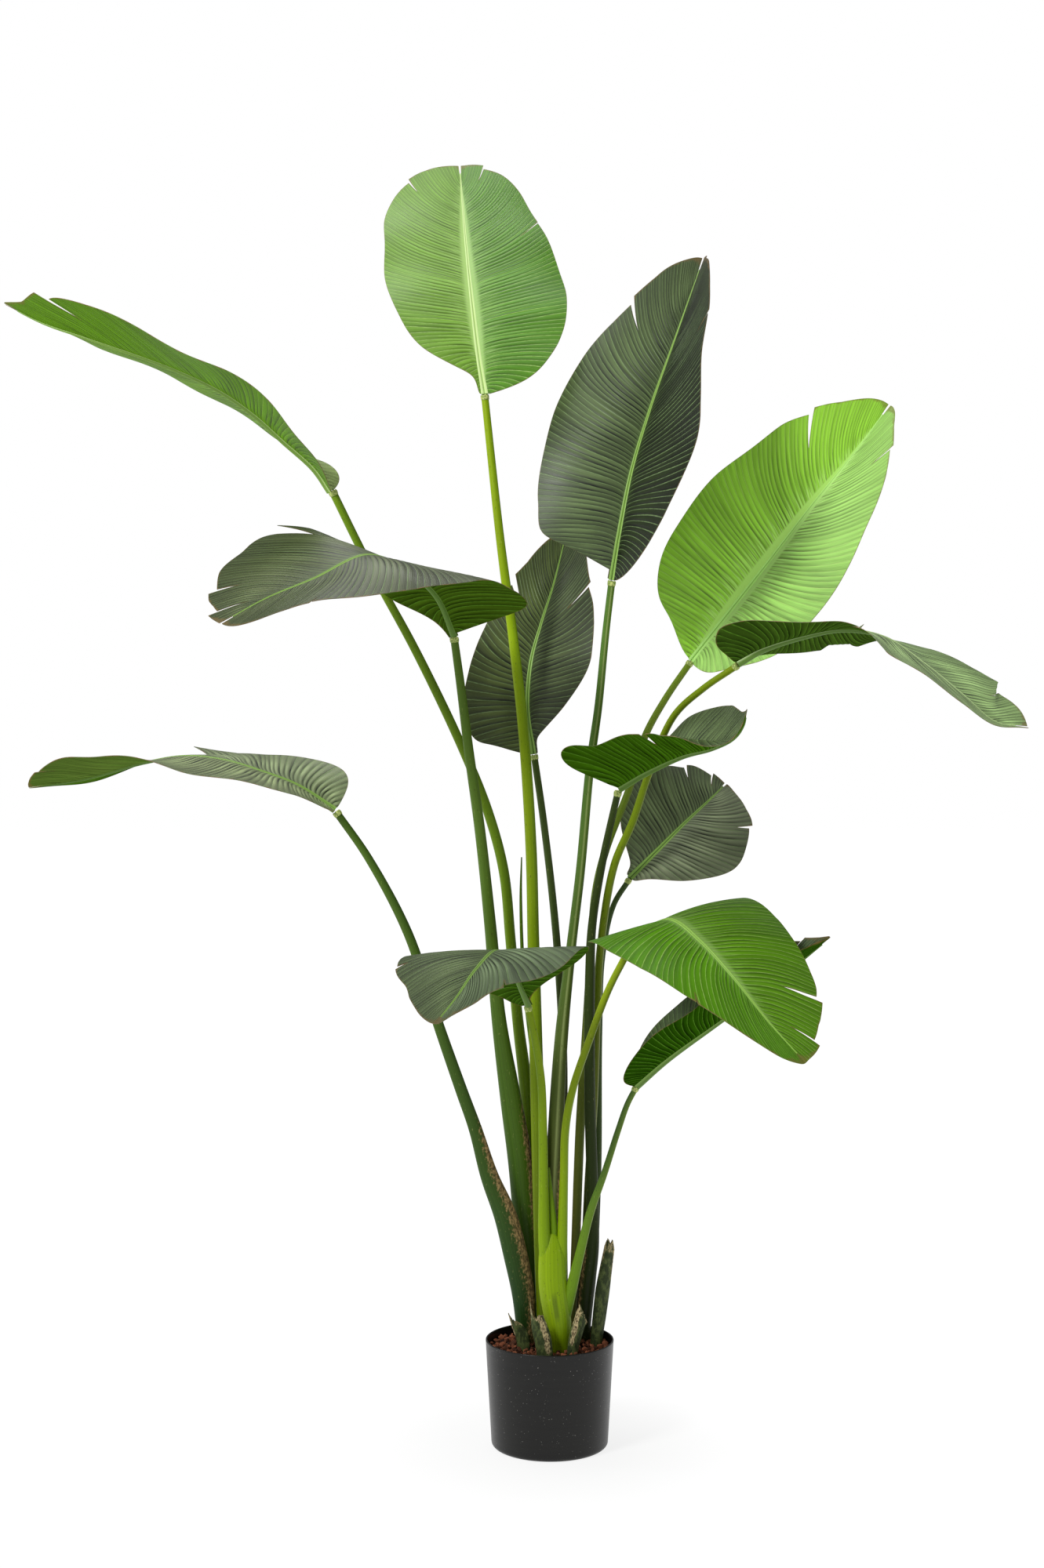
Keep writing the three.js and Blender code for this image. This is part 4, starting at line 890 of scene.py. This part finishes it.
# Each stalk's colours, left and right as the front view shows it, low and high on it, its dry
# sheath margin as the way it faces in degrees (0 right, -90 front), how wide, and where it starts
# and ends, and the way that a painted highlight line along it faces. Left and right differ partly
# by painted light and shade.
STALK_LOOKS = {
    "petiole_01": {"low": [(98, 120, 3), (76, 98, 2)], "high": [(144, 170, 6), (112, 142, 4)]},
    "petiole_02": {"low": [(76, 78, 30), (58, 52, 24)], "high": [(80, 116, 46), (76, 106, 10)],
        "dry": (-35, 24, 0.0, 0.34), "line": -82},
    "petiole_03": {"low": [(80, 74, 30), (70, 84, 20)], "high": [(112, 138, 34), (94, 114, 22)],
        "dry": (-20, 22, 0.0, 0.3)},
    "petiole_04": {"low": [(76, 92, 14), (66, 58, 24)], "high": [(122, 146, 8), (98, 118, 4)],
        "line": -25},
    "petiole_05": {"low": [(96, 122, 8), (100, 124, 10)], "high": [(106, 138, 18), (84, 114, 8)]},
    "petiole_06": {"low": [(44, 76, 12), (62, 88, 8)], "high": [(88, 118, 40), (66, 92, 10)],
        "dry": (-22, 40, 0.03, 0.42)},
    "petiole_07": {"low": [(62, 64, 26), (54, 48, 20)], "high": [(68, 88, 36), (58, 74, 26)],
        "dry": (-150, 20, 0.0, 0.35)},
    "petiole_08": {"low": [(28, 60, 20), (36, 54, 12)], "high": [(74, 102, 30), (52, 80, 14)],
        "dry": (-22, 58, 0.02, 0.5)},
    "petiole_09": {"low": [(40, 54, 14), (34, 46, 10)], "high": [(50, 66, 18), (40, 54, 10)],
        "dry": (-140, 20, 0.05, 0.3)},
    "petiole_10": {"low": [(52, 66, 28), (46, 60, 24)], "high": [(70, 92, 48), (56, 76, 34)]},
    "spear": {"low": [(86, 110, 10), (66, 88, 8)], "high": [(80, 112, 14), (62, 90, 8)]},
}
# The shoot's stalks, given the same way; the sheath's slit is a dark line of painted shade.
SHOOT_LOOKS = [
    {"low": [(132, 160, 8), (118, 148, 6)], "high": [(134, 162, 10), (116, 148, 6)], "tuck": 0.45,
     "slit": (-90, 0.5, 0.68)},
    {"low": [(128, 158, 10), (100, 132, 6)], "high": [(106, 134, 10), (128, 152, 6)]},
    {"low": [(130, 158, 8), (110, 142, 6)], "high": [(140, 162, 10), (106, 124, 10)], "line": -30},
    {"low": [(104, 140, 6), (92, 124, 6)], "high": [(98, 130, 8), (88, 118, 6)]},
    {"low": [(110, 144, 20), (92, 128, 18)], "high": [(76, 108, 46), (94, 120, 40)], "line": -20},
]


def stalk_rings(spec, sides):
    """Middles, sideways and backward ways, widths and lengths along a stalk, and the angles."""
    points = [seen(row) for row in spec["path"]]
    widths = [row[3] for row in spec["path"]]
    if spec["foot"]:
        x, y, wide = spec["foot"]
        points.insert(0, np.array([x, y, GRANULES_TOP + 8]))
        widths.insert(0, wide)
    fine = spline(points, 10)
    width = station(widths, np.linspace(0, 1, len(fine)))
    ahead = unit(np.gradient(fine, axis=0))
    if spec["foot"]:
        ahead[0] = (0, 0, 1)
        fine = np.concatenate([[[x, y, STALK_FOOT]], fine])
        ahead = np.concatenate([[[0, 0, 1]], ahead])
        width = np.concatenate([[wide], width])
    along = lengths(fine)
    end = along[-1] - SOCKET
    keep = along < end - 0.5
    table = np.column_stack([fine, ahead, width])
    last = [np.interp(end, along, column) for column in table.T]
    table = np.concatenate([table[keep], [last]])
    fine, ahead, width = table[:, :3], unit(table[:, 3:6]), table[:, 6]
    back = unit(np.array([0, 1, 0]) - ahead[:, 1:2] * ahead)
    angle = (np.arange(sides) + 0.5) * 2 * math.pi / sides
    return fine, np.cross(back, ahead), back, width, np.concatenate([along[keep], [end]]), angle


def apart(angle, facing):
    """How many degrees each angle lies from the way that is faced."""
    return np.abs((np.degrees(angle) - facing + 180) % 360 - 180)


def within(share, first, last, rise, fall):
    """1 between first and last, with a slope at each end."""
    return np.clip((share - first) / rise, 0, 1) * np.clip((last - share) / fall, 0, 1)


def blend(one, two, share):
    return one * (1 - share) + two * share


def stalk_part(parts, spec, look, sides=SIDES):
    """A petiole: an oval tube with a step along its dry sheath margin, and its colours."""
    centre, level, back, width, along, angle = stalk_rings(spec, sides)
    share = along / along[-1]
    dry = np.zeros((len(share), sides))
    swell = np.ones((len(share), sides))
    if "dry" in look:
        facing, spread, first, last = look["dry"]
        away = apart(angle, facing)
        fade = within(share, first, last, 0.02, 0.08)[:, None]
        dry = np.exp(-((away / spread) ** 2)) * fade
        swell -= 0.05 * np.clip(1 - np.abs(away - spread * 0.9) / 14, 0, 1) * fade
    wide = np.cos(angle)[None, :, None] * (level * (width / 2)[:, None])[:, None, :]
    thick = np.sin(angle)[None, :, None] * (back * (width * spec["flat"] / 2)[:, None])[:, None, :]
    if "tuck" in look:
        sunk = np.clip((share - 0.62) / 0.38, 0, 1)[:, None, None]
        closed = np.sqrt(1 - 0.96 * np.clip((share - 0.86) / 0.14, 0, 1) ** 2)[:, None, None]
        wide, thick = wide * (1 - 0.08 * sunk) * closed, thick * (1 - look["tuck"] * sunk) * closed
    rings = centre[:, None, :] + (wide + thick) * swell[:, :, None]
    # Left and right colours blend round the stalk; they differ partly by painted light and shade.
    right = (np.cos(angle) * 0.5 + 0.5)[None, :, None]
    high = np.clip((share - 0.15) / 0.6, 0, 1)[:, None, None]
    low_tint, high_tint = (blend(*(srgb(c) for c in look[k]), right) for k in ("low", "high"))
    tint = blend(low_tint, high_tint, high)
    # A pale line along the stalk at the given facing: a painted highlight.
    if "line" in look:
        pale = (np.clip(1 - apart(angle, look["line"]) / 16, 0, 1) * 0.55)[None, :, None]
        pale = pale * np.clip(share * 3, 0.2, 1)[:, None, None]
        tint = blend(tint, srgb((176, 190, 122)), pale)
    # A dark line down the sheath: painted shade inside its slit.
    if "slit" in look:
        facing, first, last = look["slit"]
        dark = (np.clip(1 - apart(angle, facing) / 10, 0, 1) * 0.9)[None, :, None]
        dark = dark * within(share, first, last, 0.04, 0.04)[:, None, None]
        tint = blend(tint, srgb((56, 70, 22)), dark)
    uv = np.stack(np.meshgrid(np.arange(sides) / sides, along * MM), -1)
    parts.add(rings, {0: tube(rings)}, uv, tint=tint.reshape(-1, 3), dry=dry.reshape(-1))
    return centre[-1], unit(centre[-1] - centre[-3]), width[-1]


# The collar's rings: how far down the petiole, how much wider than it, and how ragged.
COLLAR = (
    (-5, 0.2, 0.6), (-3.2, 1.0, 0.1), (-0.5, 1.25, 0.1), (1.4, 1.0, 0.5), (2.6, 0.1, 0.9),
    (2.2, -1.6, 0.3),
)


def socket_part(parts, centre, ahead, width, seed):
    """The short torn collar at the top of a petiole, round the gap below its blade."""
    sides = 18
    level = unit(np.cross(ahead, [0.2, 1, 0.1]))
    back = np.cross(level, ahead)
    angle = np.arange(sides) * 2 * math.pi / sides
    ragged = np.random.default_rng(seed).uniform(-1, 1, sides)
    rings = []
    for down, swell, rough in COLLAR:
        r = width / 2 + swell * 0.8 + 0.1 + rough * 0.35 * ragged
        place = centre + ahead * down + ahead * (ragged * rough)[:, None]
        aside = level * (np.cos(angle) * r)[:, None] + back * (np.sin(angle) * r)[:, None]
        rings.append(place + aside)
    rings = np.stack(rings)
    parts.add(rings, {1: tube(rings)}, tint=srgb((120, 144, 60)), dry=0.0)


def make_petioles():
    for number, (name, spec) in enumerate(PETIOLES.items()):
        parts = Parts(2)
        end = stalk_part(parts, spec, STALK_LOOKS[name])
        if name != "spear":
            socket_part(parts, *end, seed=40 + number)
        thing = parts.build(f"{name}_stalk", ["stalk", "socket"], 50)
        finish_piece(thing, name)


def make_shoot():
    """The front shoot, its stalks sunk into each other at the sheath."""
    parts = Parts(2)
    for number, (spec, look) in enumerate(zip(SHOOT, SHOOT_LOOKS)):
        end = stalk_part(parts, spec, look, 40 if spec["foot"] else SIDES)
        if "blade" in spec:
            socket_part(parts, *end, seed=70 + number)
    finish_piece(parts.build("shoot_stalks", ["stalk", "socket"], 50), "shoot")


# ------------ stumps, pot and granules


def stump_faces(rows, count):
    """The wall round a strip's rings, and its foot and top."""
    index = np.arange(rows * count).reshape(rows, count)
    faces = grid_faces(np.concatenate([index, index[:, :1]], 1), True)
    for row, flip in ((index[0], False), (index[-1], True)):
        for k in range(count // 2 - 1):
            quad = [row[k], row[k + 1], row[count - 2 - k], row[count - 1 - k]]
            faces.append(quad[::-1] if flip else quad)
    return faces


def make_stump(number, spec):
    """The bowed strip left of an old leaf, torn and fibrous at the top."""
    turn = math.radians(spec["turn"])
    level = np.array([math.cos(turn), math.sin(turn), 0])
    outward = np.array([math.sin(turn), -math.cos(turn), 0])
    x, y, wide = spec["foot"]
    points = [np.array([x, y, STUMP_FOOT]), np.array([x, y, GRANULES_TOP + 4.0])]
    line = spline(points + [seen(row) for row in spec["path"]], 9)
    t = np.linspace(0, 1, len(line))
    width = station([wide, wide] + [row[3] for row in spec["path"]], t)
    across = np.linspace(-1, 1, 25)
    torn = np.interp(across, np.linspace(-1, 1, 5), spec["torn"])
    torn = torn + np.random.default_rng(500 + number).uniform(-1, 1, 25) * 1.6
    shells = []
    for side in (1, -1):
        bow = spec["bow"] * (1 - across**2) + side * spec["thick"] / 2 * (1 - 0.35 * across**2)
        aside = level * (across * width[:, None] / 2)[:, :, None]
        shell = line[:, None, :] + aside + outward * bow[:, None]
        rise = np.clip((np.arange(len(line)) - len(line) + 7) / 6, 0, 1)
        shell[:, :, 2] += torn * rise[:, None]
        shells.append(shell)
    ring = np.concatenate([shells[0], shells[1][:, ::-1]], 1)
    both = np.concatenate([across, across[::-1]])
    low = np.clip((t - 0.7) / 0.3, 0, 1)[:, None] ** 2
    dry = 0.6 * low + 0.25 * np.clip(np.abs(both) - 0.7, 0, 1) / 0.3 + 0.02
    middle, spread, start = spec["bare"]
    bare = np.clip(1.3 - np.abs(both - middle) / spread, 0, 1)
    dry = np.maximum(dry, 0.95 * bare * np.clip((t - start) / 0.12, 0, 1)[:, None])
    parts = Parts(1)
    parts.add(ring, {0: stump_faces(*ring.shape[:2])}, dry=np.clip(dry, 0, 1).reshape(-1))
    finish_piece(parts.build(f"{spec['name']}_leaf_base", ["stump"], 45), spec["name"])


def lathe(profile, sides):
    """A solid of revolution, its profile from the axis below round to the axis at the top."""
    angle = np.arange(sides) * 2 * math.pi / sides
    inner = np.array(profile[1:-1], float)
    ways = np.stack([np.cos(angle), np.sin(angle)], -1)[:, None, :]
    ring = np.concatenate([ways * inner[:, :1], np.tile(inner[:, 1:], (sides, 1, 1))], -1)
    rows = len(inner)
    index = np.arange(sides * rows).reshape(sides, rows)
    index = np.concatenate([index, index[:1]])
    faces = grid_faces(index, False)
    first, last = sides * rows, sides * rows + 1
    for s in range(sides):
        faces.append([first, index[s + 1, 0], index[s, 0]])
        faces.append([index[s, -1], index[s + 1, -1], last])
    ends = [[0, 0, profile[0][1]], [0, 0, profile[-1][1]]]
    return np.concatenate([ring.reshape(-1, 3), ends]), faces


def wall_at(z):
    return POT["foot"] + (POT["rim"] - POT["foot"]) * z / POT["height"]


def make_pot():
    bend, wall, height = POT["bend"], POT["wall"], POT["height"]
    profile = [(0, 0.0), (30, 0.0), (60, 0.0)]
    for a in np.radians(np.linspace(0, 90, 9)):
        profile.append((wall_at(bend) - bend + bend * math.sin(a), bend - bend * math.cos(a)))
    profile += [(wall_at(z), z) for z in np.linspace(bend + 3, height - 3, 24)]
    lip = wall / 2
    for a in np.radians(np.linspace(0, 180, 9)):
        out = wall_at(height) - lip + (lip - 0.1) * math.cos(a)
        profile.append((out, height - lip + lip * math.sin(a)))
    profile += [(wall_at(z) - wall, z) for z in (height - 3, height - 20, 60, bend)]
    profile += [(wall_at(bend) - wall - 3, POT["floor"]), (0, POT["floor"])]
    points, faces = lathe(profile, 144)
    parts = Parts(1)
    parts.add(points, {0: faces})
    finish_piece(parts.build("pot_shell", ["pot"], 60), "pot")


def feet():
    """Where each stalk and stump stands: middle, half sizes and turn."""
    found = []
    for spec in [*PETIOLES.values(), SHOOT[0]]:
        x, y, wide = spec["foot"]
        found.append((x, y, wide / 2, wide * spec["flat"] / 2, 0))
    for spec in STUMPS:
        x, y, wide = spec["foot"]
        turn, bow = math.radians(spec["turn"]), spec["bow"] / 2
        x, y = x + math.sin(turn) * bow, y - math.cos(turn) * bow
        found.append((x, y, wide / 2, spec["thick"] / 2 + bow, turn))
    return found


def is_clear(middle, radius, stands, placed):
    """Whether a granule stands clear of every foot, and not too deep in its neighbours."""
    for x, y, wide, thick, turn in stands:
        dx, dy = middle[0] - x, middle[1] - y
        px = dx * math.cos(turn) + dy * math.sin(turn)
        py = -dx * math.sin(turn) + dy * math.cos(turn)
        if (px / (wide + radius * 0.8)) ** 2 + (py / (thick + radius * 0.8)) ** 2 < 1:
            return False
    return not any(np.linalg.norm(middle - q) < 0.78 * (radius + r) for q, r in placed)


def lump(draw):
    """One angular granule about 1 mm across its half."""
    mesh = bmesh.new()
    bmesh.ops.create_icosphere(mesh, subdivisions=2, radius=1.0)
    points = np.array([v.co[:] for v in mesh.verts])
    faces = [[v.index for v in f.verts] for f in mesh.faces]
    mesh.free()
    for _ in range(7):
        way = unit(draw.normal(size=3))
        cut = draw.uniform(0.55, 0.85)
        points = points - np.outer(np.maximum(points @ way - cut, 0), way)
    points *= 1 + 0.07 * draw.normal(size=(len(points), 1))
    return points * draw.uniform([0.8, 0.6, 0.55], [1.25, 0.95, 0.85]), faces


# Three draws of granules: their half size, the height they lie at, and how many are tried.
GRANULE_LAYERS = (
    (7.6, GRANULES_TOP - 4.2, 1500),
    (6.6, GRANULES_TOP - 0.8, 2600),
    (4.2, GRANULES_TOP + 1.0, 1500),
)


def make_granules():
    """The lava granules on the soil, with a dark bed below them."""
    draw = np.random.default_rng(11)
    kinds = [lump(draw) for _ in range(14)]
    stands = feet()
    parts = Parts(2)
    edge = wall_at(GRANULES_TOP) - POT["wall"] - 1.0
    bed, top = SOIL_TOP + GAP, GRANULES_TOP - 5
    profile = [(0, bed), (edge - 3, bed), (edge - 0.6, SOIL_TOP + 3), (edge - 0.4, top), (0, top)]
    points, faces = lathe(profile, 96)
    parts.add(points, {1: faces}, shade=0.0)
    placed = []
    for size, height, tries in GRANULE_LAYERS:
        for _ in range(tries):
            r = (edge - size * 0.95) * math.sqrt(draw.uniform())
            a = draw.uniform(0, 2 * math.pi)
            radius = size * draw.uniform(0.7, 1.15)
            z = height + draw.uniform(-1.2, 1.8)
            middle = np.array([r * math.cos(a), r * math.sin(a), z])
            if is_clear(middle, radius, stands, placed):
                placed.append((middle, radius))
    for middle, radius in placed:
        points, faces = kinds[draw.integers(len(kinds))]
        turn, _ = np.linalg.qr(draw.normal(size=(3, 3)))
        turn *= np.sign(np.linalg.det(turn))
        spot = points @ turn.T * radius + middle
        spot[:, 2] = np.maximum(spot[:, 2], SOIL_TOP + 2)
        parts.add(spot, {0: faces}, shade=draw.uniform())
    finish_piece(parts.build("granule_layer", ["granule", "soil"], 25), "granules")


# ------------ stage, lights and camera


def make_stage():
    """A pale floor that fades into a white surround."""
    far = 40
    corners = [(-far, -far, 0), (far, -far, 0), (far, far, 0), (-far, far, 0)]
    mesh = bpy.data.meshes.new("floor")
    mesh.from_pydata(corners, [], [(0, 1, 2, 3)])
    s = Shader("pale_floor")
    s.finish((0.9, 0.9, 0.9, 1), 0.8, 0.1)
    place = s.node("TexCoord", {}, "Object")
    away = s.node("VectorMath", {0: place}, "Value", operation="LENGTH")
    glow = s.node("Emission", {"Color": (1, 1, 1, 1), "Strength": 1.04})
    plain = Wire(s, s.main.outputs[0])
    mixed = s.node("MixShader", {0: s.ramp(away, 0.1, 0.4, 0.8, 1.0), 1: plain, 2: glow})
    s.put(s.tree.nodes["Material Output"].inputs["Surface"], mixed)
    mesh.materials.append(s.material)
    linked("floor", mesh)


# The surround's strength, and each lamp: its name, place, size and power.
WORLD = 0.3
LAMPS = [
    ("key", (-2.4, -2.6, 3.2), (0.9, 0.9), 112),
    ("fill", (2.8, -2.2, 1.6), (1.6, 2.2), 8),
    ("left_strip", (-3.0, 0.5, 0.9), (0.7, 1.8), 14),
    ("right_strip", (3.0, 0.3, 0.8), (0.6, 1.4), 6),
    ("top", (-0.6, 0.8, 3.8), (1.6, 1.2), 26),
]
LAMPS_AIM = (0, 0, 1.05)


def make_lights():
    world = bpy.data.worlds.new("studio")
    bpy.context.scene.world = world
    world.use_nodes = True
    tree = world.node_tree
    ground = tree.nodes["Background"]
    shown = tree.nodes.new("ShaderNodeBackground")
    for background in (ground, shown):
        background.inputs["Color"].default_value = (1, 1, 1, 1)
    ground.inputs["Strength"].default_value = WORLD
    path = tree.nodes.new("ShaderNodeLightPath")
    both = tree.nodes.new("ShaderNodeMixShader")
    tree.links.new(path.outputs["Is Camera Ray"], both.inputs[0])
    tree.links.new(ground.outputs[0], both.inputs[1])
    tree.links.new(shown.outputs[0], both.inputs[2])
    tree.links.new(both.outputs[0], tree.nodes["World Output"].inputs["Surface"])
    for name, place, size, power in LAMPS:
        data = bpy.data.lights.new(name, "AREA")
        data.shape = "RECTANGLE"
        data.size, data.size_y = size
        data.energy = power
        lamp = linked(name, data)
        lamp.location = place
        aim = Vector(LAMPS_AIM) - Vector(place)
        lamp.rotation_euler = aim.to_track_quat("-Z", "Y").to_euler()


def make_camera():
    data = bpy.data.cameras.new("front_view")
    data.sensor_width = 36
    data.lens = EYE["focal"] * data.sensor_width / 2000
    camera = linked("front_view", data)
    camera.location = (EYE["x"] * MM, EYE["y"] * MM, EYE["z"] * MM)
    camera.rotation_euler = (math.pi / 2, 0, 0)
    bpy.context.scene.camera = camera


make_camera()
make_lights()
make_stage()
make_pot()
make_granules()
make_petioles()
make_shoot()
for number, spec in enumerate(STUMPS):
    make_stump(number, spec)
for number, spec in enumerate(BLADES):
    make_blade(number, spec)
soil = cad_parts["soil"]
soil.data.materials.clear()
soil.data.materials.append(MATERIALS["soil"])

bpy.context.scene.view_settings.view_transform = "Standard"
